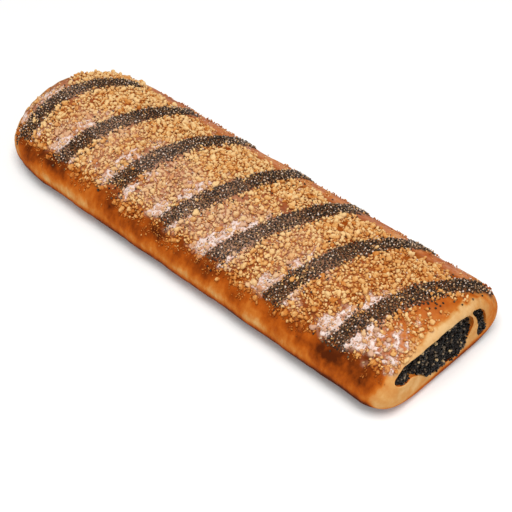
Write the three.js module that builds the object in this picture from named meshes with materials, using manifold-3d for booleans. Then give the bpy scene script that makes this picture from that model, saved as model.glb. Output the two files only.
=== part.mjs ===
// A baked poppy seed roll. A long flat loaf of sweet yeast dough is rolled once over a dark poppy
// filling. Seven slanting bands of poppy seed cross its top, with baked crumbs between them.
// Both ends are open and show the filling: a wide lens in the middle and a thin turn beside it.
// Millimetres. X runs along the roll, Y across it, Z up. The origin is the middle of its base.
import * as THREE from "three";
import { mergeVertices } from "three/addons/utils/BufferGeometryUtils.js";
import Module from "manifold-3d";

const wasm = await Module();
wasm.setup();

// ---- the loaf ----------------------------------------------------------------------------------
const LENGTH = 290;
const CRUST_WIDTH = 98.4; // between the walls, before their waves
const CRUST_HEIGHT = 38; // to the crust; crumbs and seeds stand above it
const WIDEST_Z = 12; // height at which the section is widest
const TOP_SQUARENESS_Y = 2.04; // powers of the rounded section, 2 being an ellipse
const TOP_SQUARENESS_Z = 1.6;
const BASE_SQUARENESS = 3;
const BASE_SINK = 0.6; // the base curve dips this far below the tray, and the tray flattens it

// Each end rounds over `run` of the length, where the sides come in and the top comes down.
const NEAR_END = { run: 15.4, sidesIn: 12.6, topDown: 6.4, baseRun: 5, baseUp: 4.4 };
const FAR_END = { run: 45, sidesIn: 17.6, topDown: 7.4, baseRun: 7, baseUp: 4.4 };

// Slow waves of the walls and top, as proved dough has: height and length of each wave.
const WALL_WAVES = [
  { height: 0.2, length: 41, start: 0.4 },
  { height: 0.12, length: 26, start: 1.9 },
];
const TOP_WAVES = [
  { height: 0.35, length: 41, start: 2.6 },
  { height: 0.25, length: 67, start: 0.7 },
];

const SECTION_POINTS = { top: 24, base: 10 };
const END_RINGS = { near: 5, far: 7 }; // rings of points between an end band and its end face
const GAP_RINGS = 3; // and between two bands

// ---- the filling, as it shows at the open ends (y, z) -------------------------------------------
const CORE_UPPER_EDGE = [
  [-37.8, 20.3], [-33.4, 24.4], [-28, 27.1], [-19, 29.4], [-8, 30.4],
  [4, 30.1], [11.5, 29.3], [14.8, 27.6], [17.5, 24.4], [19, 20.6],
];
const CORE_LOWER_EDGE = [
  [-37.5, 19.3], [-31.5, 16.9], [-26.8, 18.2], [-21, 14.8], [-15.5, 10.6],
  [-9, 7.9], [-1, 7.6], [6, 7.8], [12, 10], [16.4, 13.9], [18.9, 19.2],
];
const TURN_OUTER_EDGE = [
  [17.2, 29.3], [21.5, 27.2], [26.4, 23.5], [28.9, 18.6], [30, 12.9], [29.8, 9], [28, 6.7],
];
const TURN_INNER_EDGE = [
  [17.3, 28.3], [20.1, 24.2], [22.3, 20], [23.5, 16.2], [23.8, 12.6], [24.3, 9.6], [26.6, 6.9],
];
const FILLING_GAP = 0.3; // clearance all round, between filling and dough
const CHANNEL_OVERRUN = 5; // how far the channel's cutter runs past each end face
const RECESS_TOP = 3.6; // how far the filling's face lies behind the rim, at its upper edge
const RECESS_LOW = 0.6; // and at its lower edge
const RECESS_LEVELS = { low: 8, top: 28 }; // heights of those edges
const FILLING_BUMP = 0.5; // seed lumps on its face
const CORE_GRID = { along: 18, across: 5 };
const TURN_GRID = { along: 10, across: 2 };
const FILLING_SEEDS = { core: 11, turn: 12 };

// The filling's section is scaled along the roll: as seen at the near end, swollen in the middle,
// and drawn in at the far end. Each change takes SWELL_RUN of the length.
const FILLING_SCALE = { near: [1, 1], middle: [1.06, 1.07], far: [0.8, 0.95] };
const SWELL_RUN = 40;

// ---- the poppy bands ---------------------------------------------------------------------------
// x on the centre line, then how it slants and bows across the roll: x = at + slant*y + bow*y*y.
const BANDS = [
  { at: -123.5, slant: 0.335, bow: 0.0038 },
  { at: -79.7, slant: 0.326, bow: -0.0005 },
  { at: -40.3, slant: 0.293, bow: -0.0001 },
  { at: 5.9, slant: 0.311, bow: -0.0042 },
  { at: 44.1, slant: 0.345, bow: -0.0031 },
  { at: 81.3, slant: 0.353, bow: -0.0002 },
  { at: 123.6, slant: 0.376, bow: -0.0003 },
];
const BAND_HALF_WIDTH = 5;
const BAND_HEIGHT = 1.1;
const BAND_BUMP = 0.35;
const BAND_PROFILE = [[-1, 0], [-0.65, 1], [0, 1.15], [0.65, 1], [1, 0]]; // share of width, of height
const BAND_TIP_WIDTH = 0.6; // share of its width that a band keeps at its tips
const BAND_REACH = 42; // past this far from the middle, a band no longer moves along the roll
const RELIEF_SEED = 20242;

// Seeds and fine crumbs cover the top between these two places (y), and fade out at each.
const TOPPING = { far: 44, near: -46, fade: 7 };

// ---- the crumbs --------------------------------------------------------------------------------
const CRUMBS = 190;
const CRUMB_RADIUS = { largest: 2.8, smallest: 1.7 };
const CRUMB_SPACING = 7.4; // between the middles of two of the largest
const CRUMB_SINK = 0.38; // share of its radius that a crumb is sunk
const CRUMB_CLEARANCE = 0.6; // and that it keeps from the edge of a band
const CRUMB_UNEVENNESS = 0.2;
const CRUMB_FIELD = { far: 36, near: -42, endMargin: 12 };
const CRUMB_BED = 0.9; // unevenness of the fine crumbs between the large ones
const CRUMB_SEED = 20241;
const CRUMB_TRIES = 60000;

// ---- helpers -----------------------------------------------------------------------------------
const WELD = 1e-4; // points closer than this are one
const NORMAL_STEP = { along: 0.5, round: 0.01 }; // mm and radians, to measure the crust's slope

function seededRandom(seed) {
  let state = seed >>> 0;
  return () => {
    state = (state + 0x6d2b79f5) >>> 0;
    let mixed = Math.imul(state ^ (state >>> 15), 1 | state);
    mixed = (mixed + Math.imul(mixed ^ (mixed >>> 7), 61 | mixed)) ^ mixed;
    return ((mixed ^ (mixed >>> 14)) >>> 0) / 2 ** 32;
  };
}

function signedPower(value, power) {
  return Math.sign(value) * Math.abs(value) ** power;
}

function waveSum(waves, x, shift) {
  return waves.reduce(
    (sum, wave) => sum + wave.height * Math.sin((2 * Math.PI * x) / wave.length + wave.start + shift),
    0,
  );
}

// 0 at the start of an end's rounding and 1 at the end face, along a quarter ellipse.
function rounding(fromFace, run) {
  if (fromFace >= run) return 0;
  return 1 - Math.sqrt(Math.max(0, 1 - (1 - fromFace / run) ** 2));
}

function toGeometry(points, triangles) {
  const geometry = new THREE.BufferGeometry().setFromPoints(points);
  geometry.setIndex(triangles);
  return geometry;
}

function toSolid(geometry) {
  const bare = geometry.clone();
  bare.deleteAttribute("normal");
  bare.deleteAttribute("uv");
  const merged = mergeVertices(bare, WELD);
  return new wasm.Manifold(
    new wasm.Mesh({
      numProp: 3,
      vertProperties: new Float32Array(merged.attributes.position.array),
      triVerts: new Uint32Array(merged.index.array),
    }),
  );
}

function fromSolid(solid) {
  const mesh = solid.getMesh();
  const points = [];
  for (let i = 0; i < mesh.numVert; i++) {
    points.push(new THREE.Vector3().fromArray(mesh.vertProperties, i * mesh.numProp));
  }
  const geometry = toGeometry(points, Array.from(mesh.triVerts)).toNonIndexed();
  geometry.computeVertexNormals(); // flat faces
  return geometry;
}

// Joins rings of points, each seen anticlockwise from +X, going towards +X, and closes both ends.
function loft(rings) {
  const size = rings[0].length;
  const points = rings.flat();
  const triangles = [];
  for (let r = 0; r + 1 < rings.length; r++) {
    for (let i = 0; i < size; i++) {
      const next = (i + 1) % size;
      const [a, b] = [r * size + i, r * size + next];
      triangles.push(a, b, b + size, a, b + size, a + size);
    }
  }
  const middles = [rings[0], rings.at(-1)].map((ring) => {
    const sum = ring.reduce((total, point) => total.add(point), new THREE.Vector3());
    return sum.divideScalar(size);
  });
  const lastRing = (rings.length - 1) * size;
  const [backMiddle, frontMiddle] = [points.length, points.length + 1];
  for (let i = 0; i < size; i++) {
    const next = (i + 1) % size;
    triangles.push(backMiddle, next, i);
    triangles.push(frontMiddle, lastRing + i, lastRing + next);
  }
  return toGeometry([...points, ...middles], triangles);
}

// ---- the outer form ----------------------------------------------------------------------------
function endOf(x) {
  return x > 0 ? NEAR_END : FAR_END;
}

function halfWidth(x, side) {
  const end = endOf(x);
  const shrink = rounding(LENGTH / 2 - Math.abs(x), end.run);
  return CRUST_WIDTH / 2 + waveSum(WALL_WAVES, x, side) - end.sidesIn * shrink;
}

function crustTop(x) {
  const end = endOf(x);
  const shrink = rounding(LENGTH / 2 - Math.abs(x), end.run);
  return CRUST_HEIGHT + waveSum(TOP_WAVES, x, 0) - end.topDown * shrink;
}

function crustBase(x) {
  const end = endOf(x);
  return end.baseUp * rounding(LENGTH / 2 - Math.abs(x), end.baseRun);
}

// The crust at `angle` round the section: 0 at the far wall, a quarter turn at the top.
function crust(x, angle) {
  const [across, up] = [Math.cos(angle), Math.sin(angle)];
  const half = halfWidth(x, Math.sign(across));
  const floor = crustBase(x);
  if (up >= 0) {
    const y = half * signedPower(across, 2 / TOP_SQUARENESS_Y);
    const z = WIDEST_Z + (crustTop(x) - WIDEST_Z) * up ** (2 / TOP_SQUARENESS_Z);
    return new THREE.Vector3(x, y, z);
  }
  const y = half * signedPower(across, 2 / BASE_SQUARENESS);
  const drop = (WIDEST_Z + BASE_SINK - floor) * Math.abs(up) ** (2 / BASE_SQUARENESS);
  return new THREE.Vector3(x, y, Math.max(floor, WIDEST_Z - drop));
}

function crustNormal(x, angle) {
  const along = crust(x + NORMAL_STEP.along, angle).sub(crust(x - NORMAL_STEP.along, angle));
  const round = crust(x, angle + NORMAL_STEP.round).sub(crust(x, angle - NORMAL_STEP.round));
  return round.cross(along).normalize();
}

function sectionAngles() {
  const top = Array.from({ length: SECTION_POINTS.top }, (_, i) => {
    return (Math.PI * i) / SECTION_POINTS.top;
  });
  const base = Array.from({ length: SECTION_POINTS.base }, (_, i) => {
    return Math.PI + (Math.PI * i) / SECTION_POINTS.base;
  });
  return [...top, ...base];
}

// ---- poppy bands, as raised strips of the crust --------------------------------------------------
// How far a band's middle, or any line between two bands, has moved along the roll at `y`.
function lean(at, y) {
  const level = { slant: 0, bow: 0 };
  const knots = [{ at: -LENGTH / 2, ...level }, ...BANDS, { at: LENGTH / 2, ...level }];
  const upper = Math.max(1, knots.findIndex((knot) => knot.at >= at));
  const [before, after] = [knots[upper - 1], knots[upper]];
  const share = (at - before.at) / (after.at - before.at);
  const slant = THREE.MathUtils.lerp(before.slant, after.slant, share);
  const bow = THREE.MathUtils.lerp(before.bow, after.bow, share);
  return slant * y + bow * y * y;
}

// 1 on the top of the roll, fading to 0 down each shoulder.
function toppingShare(y) {
  const { far, near, fade } = TOPPING;
  const { smoothstep } = THREE.MathUtils;
  return smoothstep(far - y, 0, fade) * smoothstep(y - near, 0, fade);
}

// Rings of points round the loaf, in order along it. Each leans as the nearest bands do.
function crustRings() {
  const { lerp } = THREE.MathUtils;
  const plain = (at) => ({ at, side: 0, lift: 0, bed: 1 });
  const between = (from, to) =>
    Array.from({ length: GAP_RINGS }, (_, i) => plain(lerp(from, to, (i + 1) / (GAP_RINGS + 1))));
  const towards = (from, to, count) =>
    Array.from({ length: count }, (_, i) => {
      const turn = ((i + 1) / count) * (Math.PI / 2);
      return { ...plain(lerp(from, to, Math.sin(turn))), bed: 0 };
    });
  const far = towards(BANDS[0].at - BAND_HALF_WIDTH, -LENGTH / 2, END_RINGS.far).reverse();
  const near = towards(BANDS.at(-1).at + BAND_HALF_WIDTH, LENGTH / 2, END_RINGS.near);
  const body = BANDS.flatMap((band, i) => {
    const rings = BAND_PROFILE.map(([side, lift]) => ({ at: band.at, side, lift, bed: 0 }));
    const next = BANDS[i + 1];
    if (!next) return rings;
    return [...rings, ...between(band.at + BAND_HALF_WIDTH, next.at - BAND_HALF_WIDTH)];
  });
  return [...far, ...body, ...near];
}

function ringPoint(ring, angle, random) {
  const y = THREE.MathUtils.clamp(crust(ring.at, angle).y, -BAND_REACH, BAND_REACH);
  const topping = Math.sin(angle) > 0 ? toppingShare(y) : 0;
  const half = BAND_HALF_WIDTH * ring.side * THREE.MathUtils.lerp(BAND_TIP_WIDTH, 1, topping);
  const x = ring.at + lean(ring.at, y) + half;
  const band = ring.lift * (BAND_HEIGHT + BAND_BUMP * (2 * random() - 1));
  const bed = ring.bed * CRUMB_BED * random();
  const point = crust(x, angle);
  return topping > 0 ? point.addScaledVector(crustNormal(x, angle), topping * (band + bed)) : point;
}

function crustBody(random) {
  const angles = sectionAngles();
  return loft(crustRings().map((ring) => angles.map((angle) => ringPoint(ring, angle, random))));
}

// ---- the filling -------------------------------------------------------------------------------
function fillingScale(x) {
  const inside = LENGTH / 2 - Math.abs(x);
  const share = THREE.MathUtils.clamp(inside / SWELL_RUN, 0, 1);
  const end = x > 0 ? FILLING_SCALE.near : FILLING_SCALE.far;
  return [0, 1].map((i) => THREE.MathUtils.lerp(end[i], FILLING_SCALE.middle[i], share));
}

function toSpline(edge) {
  return new THREE.SplineCurve(edge.map(([y, z]) => new THREE.Vector2(y, z)));
}

// A grid of points (y, z) that fills the strip between two edges.
function stripGrid(lowerEdge, upperEdge, size) {
  const [lower, upper] = [toSpline(lowerEdge), toSpline(upperEdge)];
  return Array.from({ length: size.along + 1 }, (_, i) => {
    const share = i / size.along;
    const [start, end] = [lower.getPointAt(share), upper.getPointAt(share)];
    return Array.from({ length: size.across + 1 }, (_, j) => {
      return start.clone().lerp(end, j / size.across);
    });
  });
}

// Grid places round the rim of the strip, in the order (i, j), anticlockwise from +X.
function rimPlaces(size) {
  const places = [];
  for (let i = 0; i < size.along; i++) places.push([i, 0]);
  for (let j = 0; j < size.across; j++) places.push([size.along, j]);
  for (let i = size.along; i > 0; i--) places.push([i, size.across]);
  for (let j = size.across; j > 0; j--) places.push([0, j]);
  return places;
}

function scaledPoint(x, flat) {
  const [scaleY, scaleZ] = fillingScale(x);
  return new THREE.Vector3(x, flat.x * scaleY, flat.y * scaleZ);
}

function grown(ring, distance) {
  return ring.map((point, i) => {
    const before = ring.at(i - 1);
    const after = ring[(i + 1) % ring.length];
    const outward = new THREE.Vector3(0, after.z - before.z, before.y - after.y).normalize();
    return point.clone().addScaledVector(outward, distance);
  });
}

// The channel in the dough: the filling's strip, grown by the gap, from end to end and past both.
function fillingChannel(grid, size) {
  const rim = rimPlaces(size).map(([i, j]) => grid[i][j]);
  const [swollen, end] = [LENGTH / 2 - SWELL_RUN, LENGTH / 2];
  const beyond = end + CHANNEL_OVERRUN;
  const rings = [-beyond, -end, -swollen, swollen, end, beyond].map((x) => {
    return grown(rim.map((flat) => scaledPoint(x, flat)), FILLING_GAP);
  });
  return toSolid(loft(rings));
}

// The filling itself: plain inside the dough, with a lumpy, leaning face at each end.
function fillingBody(grid, size, seed) {
  const random = seededRandom(seed);
  const rim = rimPlaces(size);
  const columns = size.across + 1;
  const gridCount = (size.along + 1) * columns;
  const faceX = (z) => {
    const share = THREE.MathUtils.smoothstep(z, RECESS_LEVELS.low, RECESS_LEVELS.top);
    return LENGTH / 2 - THREE.MathUtils.lerp(RECESS_LOW, RECESS_TOP, share);
  };
  const face = (sign) =>
    grid.flatMap((column) =>
      column.map((flat) => {
        const bump = FILLING_BUMP * (2 * random() - 1);
        return scaledPoint(sign * (faceX(flat.y) + bump), flat);
      }),
    );
  const swollen = LENGTH / 2 - SWELL_RUN;
  const rings = [-swollen, swollen].map((x) => rim.map(([i, j]) => scaledPoint(x, grid[i][j])));
  const points = [...face(-1), ...face(1), ...rings.flat()];
  const triangles = [];
  for (let i = 0; i < size.along; i++) {
    for (let j = 0; j < size.across; j++) {
      const corner = i * columns + j;
      const [a, b, c, d] = [corner, corner + columns, corner + columns + 1, corner + 1];
      triangles.push(a, c, b, a, d, c);
      triangles.push(...[a, b, c, a, c, d].map((index) => index + gridCount));
    }
  }
  const loops = [
    rim.map(([i, j]) => i * columns + j),
    ...rings.map((_, r) => rim.map((_, k) => 2 * gridCount + r * rim.length + k)),
    rim.map(([i, j]) => gridCount + i * columns + j),
  ];
  for (let r = 0; r + 1 < loops.length; r++) {
    for (let k = 0; k < rim.length; k++) {
      const next = (k + 1) % rim.length;
      const [a, b, c, d] = [loops[r][k], loops[r][next], loops[r + 1][next], loops[r + 1][k]];
      triangles.push(a, b, c, a, c, d);
    }
  }
  return toGeometry(points, triangles);
}

// ---- crumbs ------------------------------------------------------------------------------------
function onBand(x, y, clearance) {
  return BANDS.some(
    (band) => Math.abs(x - band.at - lean(band.at, y)) < BAND_HALF_WIDTH + clearance,
  );
}

// Places for the crumbs, the largest first, kept apart from one another and off the bands.
function crumbPlaces() {
  const random = seededRandom(CRUMB_SEED);
  const places = [];
  for (let attempt = 0; attempt < CRUMB_TRIES && places.length < CRUMBS; attempt++) {
    const size = places.length / CRUMBS;
    const radius = THREE.MathUtils.lerp(CRUMB_RADIUS.largest, CRUMB_RADIUS.smallest, size);
    const x = THREE.MathUtils.lerp(-1, 1, random()) * (LENGTH / 2 - CRUMB_FIELD.endMargin);
    const angle = Math.PI * random();
    const foot = crust(x, angle);
    if (foot.y > CRUMB_FIELD.far || foot.y < CRUMB_FIELD.near) continue;
    if (onBand(x, foot.y, CRUMB_CLEARANCE * radius)) continue;
    const apart = (CRUMB_SPACING * radius) / CRUMB_RADIUS.largest;
    if (places.some((other) => other.foot.distanceTo(foot) < apart)) continue;
    places.push({ foot, normal: crustNormal(x, angle), radius });
  }
  return places;
}

function crumb(place, random) {
  const bare = new THREE.IcosahedronGeometry(1, 0);
  bare.deleteAttribute("normal");
  bare.deleteAttribute("uv");
  const lump = mergeVertices(bare);
  const corners = lump.attributes.position;
  for (let i = 0; i < corners.count; i++) {
    const length = place.radius * (1 + CRUMB_UNEVENNESS * (2 * random() - 1));
    const corner = new THREE.Vector3().fromBufferAttribute(corners, i).multiplyScalar(length);
    corners.setXYZ(i, corner.x, corner.y, corner.z);
  }
  const turn = new THREE.Euler(...[0, 1, 2].map(() => 2 * Math.PI * random()));
  const middle = place.foot.clone().addScaledVector(place.normal, -CRUMB_SINK * place.radius);
  lump.applyMatrix4(new THREE.Matrix4().makeRotationFromEuler(turn));
  lump.translate(middle.x, middle.y, middle.z);
  return lump;
}

// ---- the pieces --------------------------------------------------------------------------------
const coreGrid = stripGrid(CORE_LOWER_EDGE, CORE_UPPER_EDGE, CORE_GRID);
const turnGrid = stripGrid(TURN_INNER_EDGE, TURN_OUTER_EDGE, TURN_GRID);

function doughGeometry() {
  const random = seededRandom(RELIEF_SEED);
  const loaf = toSolid(crustBody(random));
  const topped = crumbPlaces().reduce((solid, place) => solid.add(toSolid(crumb(place, random))), loaf);
  const hollowed = topped
    .subtract(fillingChannel(coreGrid, CORE_GRID))
    .subtract(fillingChannel(turnGrid, TURN_GRID));
  return fromSolid(hollowed);
}

function flatShaded(geometry) {
  const faceted = geometry.toNonIndexed();
  faceted.computeVertexNormals();
  return faceted;
}

function piece(name, geometry, material) {
  const mesh = new THREE.Mesh(geometry, material);
  mesh.name = name;
  return mesh;
}

const crustMaterial = new THREE.MeshStandardMaterial({ color: "#c9853f", roughness: 0.5, metalness: 0 });
const fillingMaterial = new THREE.MeshStandardMaterial({ color: "#2a2422", roughness: 0.4, metalness: 0 });

const coreBody = fillingBody(coreGrid, CORE_GRID, FILLING_SEEDS.core);
const turnBody = fillingBody(turnGrid, TURN_GRID, FILLING_SEEDS.turn);
const roll = new THREE.Group();
roll.add(piece("dough", doughGeometry(), crustMaterial));
roll.add(piece("filling_core", flatShaded(coreBody), fillingMaterial));
roll.add(piece("filling_turn", flatShaded(turnBody), fillingMaterial));

export default roll;
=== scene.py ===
# %% [markdown]
# # A poppy seed roll, dressed over its plain model
# The roll is a flat loaf of sweet yeast dough, about 290 mm long, with a dark poppy filling.
# Its crust is brushed with egg and baked. Seven slanting bands of poppy seed cross the top, butter
# crumbs lie between them, and a thin sugar glaze was brushed on last.
# The plain model gives the place and the size of everything. This lesson builds each finish as
# real geometry on the same form: dough first, then filling, crumbs, seeds and glaze.

import itertools
import math

import bmesh
import bpy
import numpy as np
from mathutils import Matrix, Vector
from mathutils.geometry import delaunay_2d_cdt


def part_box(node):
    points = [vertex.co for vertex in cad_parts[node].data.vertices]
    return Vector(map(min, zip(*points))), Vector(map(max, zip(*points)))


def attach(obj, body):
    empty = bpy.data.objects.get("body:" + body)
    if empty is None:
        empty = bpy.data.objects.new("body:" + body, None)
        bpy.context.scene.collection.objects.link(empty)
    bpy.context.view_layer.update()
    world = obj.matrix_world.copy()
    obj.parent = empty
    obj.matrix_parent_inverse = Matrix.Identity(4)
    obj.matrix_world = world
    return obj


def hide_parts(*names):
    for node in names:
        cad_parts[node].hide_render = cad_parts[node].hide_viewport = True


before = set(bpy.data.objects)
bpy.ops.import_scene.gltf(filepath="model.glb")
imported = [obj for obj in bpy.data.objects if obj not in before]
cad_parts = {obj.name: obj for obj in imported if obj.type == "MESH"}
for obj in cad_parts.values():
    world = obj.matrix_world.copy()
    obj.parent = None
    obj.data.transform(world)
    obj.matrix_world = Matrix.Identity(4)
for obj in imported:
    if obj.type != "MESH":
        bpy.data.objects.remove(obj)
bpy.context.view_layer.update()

# %% [markdown]
# ## Two habits for the whole lesson
# Blender counts in metres, but a baker's sizes are millimetres, so every size here is in
# millimetres and is turned to metres only when a mesh is made.
# Anything scattered needs chance. Each piece gets its own source of chance, started from the
# piece's name, so that the roll comes out the same on every run.

# %% Millimetres and chance
MM = 0.001


def chance_for(name):
    return np.random.default_rng([ord(letter) for letter in name])


def make_mesh(name, points, faces):
    """A new object from points in millimetres and lists of faces."""
    mesh = bpy.data.meshes.new(name)
    corners = [face for group in faces for face in np.asarray(group).tolist()]
    mesh.from_pydata((np.asarray(points) * MM).tolist(), [], corners)
    mesh.polygons.foreach_set("use_smooth", [True] * len(mesh.polygons))
    mesh.update()
    piece = bpy.data.objects.new(name, mesh)
    bpy.context.scene.collection.objects.link(piece)
    return piece


def keep_on_points(piece, name, values):
    """Stores one number for each point, which a material can read by this name."""
    layer = piece.data.attributes.new(name, "FLOAT", "POINT")
    layer.data.foreach_set("value", np.asarray(values, dtype=np.float32))


# %% [markdown]
# ## Soft noise
# Dough, glaze and sprinkled crumbs are uneven at several sizes at once. Blender has noise textures
# for materials, but here the same unevenness must also move points and thin out crumbs, so a
# small noise is written in numpy: random numbers on a lattice, blended smoothly in between.

# %% Noise that is as wide as it is told to be
LATTICE = 64
noise_numbers = {}


def smooth(value, start, end):
    """0 before `start`, 1 after `end`, and a smooth rise between; `start` may be the larger."""
    share = np.clip((value - start) / (end - start), 0, 1)
    return share * share * (3 - 2 * share)


def lumps(points, width, seed):
    """Smooth noise from -1 to 1, with lumps about `width` millimetres apart."""
    if seed not in noise_numbers:
        noise_numbers[seed] = np.random.default_rng(seed).uniform(-1, 1, (LATTICE,) * 3)
    scaled = np.asarray(points) / width
    cell = np.floor(scaled).astype(int)
    part = scaled - cell
    part = part * part * (3 - 2 * part)
    total = np.zeros(len(scaled))
    for corner in itertools.product((0, 1), repeat=3):
        weight = np.prod(np.where(corner, part, 1 - part), axis=1)
        place = (cell + corner) % LATTICE
        total += weight * noise_numbers[seed][tuple(place.T)]
    return total


def layered(points, layers):
    """Sum of noises, each given by its height, its width in millimetres and its seed."""
    return sum(height * lumps(points, width, seed) for height, width, seed in layers)


# %% [markdown]
# ## The form of the loaf
# Every station along the roll has the same kind of section: a rounded, pillow-like top over a flat
# base, as dough that has proved and then settled on a tray. Both ends round off, the far one over
# a longer run. A function that gives the crust at any place is better than a modelled
# mesh here, because crumbs, seeds and glaze all have to lie on exactly that surface.

# %% Sizes of the loaf
low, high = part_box("dough")
LENGTH = (high.x - low.x) / MM
HALF_LENGTH = LENGTH / 2
CRUST_WIDTH = 98.4
CRUST_HEIGHT = 38
WIDEST_Z = 12
TOP_POWER_Y = 2.04
TOP_POWER_Z = 1.6
BASE_POWER = 3
BASE_SINK = 0.6
NEAR_END = {"run": 15.4, "sides_in": 12.6, "top_down": 6.4, "base_run": 5.0, "base_up": 4.4}
FAR_END = {"run": 45.0, "sides_in": 17.6, "top_down": 7.4, "base_run": 7.0, "base_up": 4.4}
WALL_WAVES = ((0.2, 41, 0.4), (0.12, 26, 1.9))  # height, length and start of each slow wave
TOP_WAVES = ((0.35, 41, 2.6), (0.25, 67, 0.7))
print(f"the loaf is {LENGTH:.1f} mm long")


# %% The section at any station
def end_size(x, name):
    return np.where(x > 0, NEAR_END[name], FAR_END[name])


def rounding(from_face, run):
    """0 where an end starts to round and 1 at its face, along a quarter ellipse."""
    reach = np.clip(1 - from_face / run, 0, 1)
    return 1 - np.sqrt(1 - reach**2)


def slow_waves(waves, x, shift):
    return sum(rise * np.sin(2 * np.pi * x / length + start + shift) for rise, length, start in waves)


def half_width(x, side):
    shrink = rounding(HALF_LENGTH - np.abs(x), end_size(x, "run"))
    return CRUST_WIDTH / 2 + slow_waves(WALL_WAVES, x, side) - end_size(x, "sides_in") * shrink


def crust_top(x):
    shrink = rounding(HALF_LENGTH - np.abs(x), end_size(x, "run"))
    return CRUST_HEIGHT + slow_waves(TOP_WAVES, x, 0) - end_size(x, "top_down") * shrink


def crust_base(x):
    return end_size(x, "base_up") * rounding(HALF_LENGTH - np.abs(x), end_size(x, "base_run"))


# %% The crust at any angle round the section
NORMAL_STEP_X = 0.5
NORMAL_STEP_ANGLE = 0.01


def plain_crust(x, angle):
    """The crust before its relief. The angle is 0 at the far wall and a quarter turn at the top."""
    across, up = np.cos(angle), np.sin(angle)
    half, floor = half_width(x, np.sign(across)), crust_base(x)
    top_y = half * np.sign(across) * np.abs(across) ** (2 / TOP_POWER_Y)
    top_z = WIDEST_Z + (crust_top(x) - WIDEST_Z) * np.abs(up) ** (2 / TOP_POWER_Z)
    base_y = half * np.sign(across) * np.abs(across) ** (2 / BASE_POWER)
    base_z = WIDEST_Z - (WIDEST_Z + BASE_SINK - floor) * np.abs(up) ** (2 / BASE_POWER)
    y = np.where(up >= 0, top_y, base_y)
    z = np.where(up >= 0, top_z, np.maximum(floor, base_z))
    return np.stack([x + 0 * y, y, z], axis=-1)


def crust_normal(x, angle):
    along = plain_crust(x + NORMAL_STEP_X, angle) - plain_crust(x - NORMAL_STEP_X, angle)
    round_section = plain_crust(x, angle + NORMAL_STEP_ANGLE) - plain_crust(x, angle - NORMAL_STEP_ANGLE)
    normal = np.cross(round_section, along)
    return normal / np.linalg.norm(normal, axis=-1, keepdims=True)


top_middle = plain_crust(np.array([0.0]), np.array([math.pi / 2]))[0]
top_facing = crust_normal(np.array([0.0]), math.pi / 2)[0]
print("middle of the top at", top_middle.round(1), "faces", top_facing.round(2))

# %% [markdown]
# ## Where the bands run
# A baker lays the poppy bands by hand, so each has its own slant and a slight bow. A place on the
# top is described by how far it is from the nearest band, measured in half bands: 0 is the middle
# of a band and 1 its edge. Seeds, crumbs, glaze and colour all ask for this one number.

# %% Bands and the covered part of the top
BANDS = np.array(  # x on the centre line, slant, bow, y of the near end and of the far end
    (
        (-123.3, 0.29, 0.005, -40, 30),
        (-79.7, 0.326, -0.0005, -40.5, 36),
        (-40.3, 0.293, -0.0001, -37.5, 41),
        (5.9, 0.311, -0.0042, -38.5, 45),
        (44.1, 0.345, -0.0031, -40, 45),
        (81.3, 0.353, -0.0002, -41, 44.5),
        (123.6, 0.376, -0.0003, -41, 37.5),
    )
)
BAND_HALF_WIDTH = 5.8
BAND_REACH = 42  # past this far from the middle, a band no longer moves along the roll
BAND_END_RAGGED = 1.6
BAND_END_FADE = 2
LAST_BAND_SLANT = 0.37
TOPPING_FAR = 44
TOPPING_NEAR = -46
TOPPING_FADE = 7


def nearest_band(x, y):
    """The nearest band's number and the signed distance from its middle, in half widths of a band."""
    held = np.clip(y, -BAND_REACH, BAND_REACH)
    offsets = np.stack([x - at - slant * held - bow * held**2 for at, slant, bow, _, _ in BANDS])
    nearest = np.abs(offsets).argmin(axis=0)
    return nearest, np.take_along_axis(offsets, nearest[None], axis=0)[0] / BAND_HALF_WIDTH


def band_offset(x, y):
    return nearest_band(x, y)[1]


def band_length_share(points):
    """1 along each band, falling to 0 at its two ragged ends."""
    x, y = points.T[:2]
    near_end, far_end = BANDS[nearest_band(x, y)[0], 3:].T
    place = y + BAND_END_RAGGED * lumps(points, 4, 79)
    begun = smooth(place, near_end - BAND_END_FADE, near_end + BAND_END_FADE)
    return begun * smooth(place, far_end + BAND_END_FADE, far_end - BAND_END_FADE)


def along_last_band(x, y):
    """x on the centre line of a line through each place, drawn parallel to the last band."""
    return x - LAST_BAND_SLANT * y


def topping_share(y):
    """1 on the top of the roll, fading to 0 down each shoulder."""
    far = smooth(TOPPING_FAR - y, 0, TOPPING_FADE)
    return far * smooth(y - TOPPING_NEAR, 0, TOPPING_FADE)


print(len(BANDS), "bands, each", 2 * BAND_HALF_WIDTH, "mm wide")

# %% [markdown]
# ## The relief of the crust
# A baked crust is never smooth. Slow swells come from proving, fine pits from steam, and shallow
# upright creases on the walls from the dough's skin as it stretched. Under each band the crust
# carries a low bed of pressed seed. The relief is one function of the place, and it
# moves the crust along its normal. The crumbs and seeds later use the same function.

# %% Relief in millimetres
UNEVENNESS = (  # height, width and seed: swells, puffs, and the grain of the skin
    (0.32, 17, 21),
    (0.12, 6, 22),
    (0.05, 1.7, 23),
)
UNEVEN_ABOVE = (1, 13)  # it grows between these heights, so the foot stays even
BAND_BED = 0.5
CRUMB_BED = 0.35
CREASE_DEPTH = 0.5
CREASE_SPACING = 23
CREASE_WIDTH = 1.8
CREASE_WANDER = 5
CREASE_UNEVEN = 0.35  # how unevenly they are spaced, as a share of the spacing
CREASE_SHIFT = 9  # the creases of the two walls are moved this far in opposite directions


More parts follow.
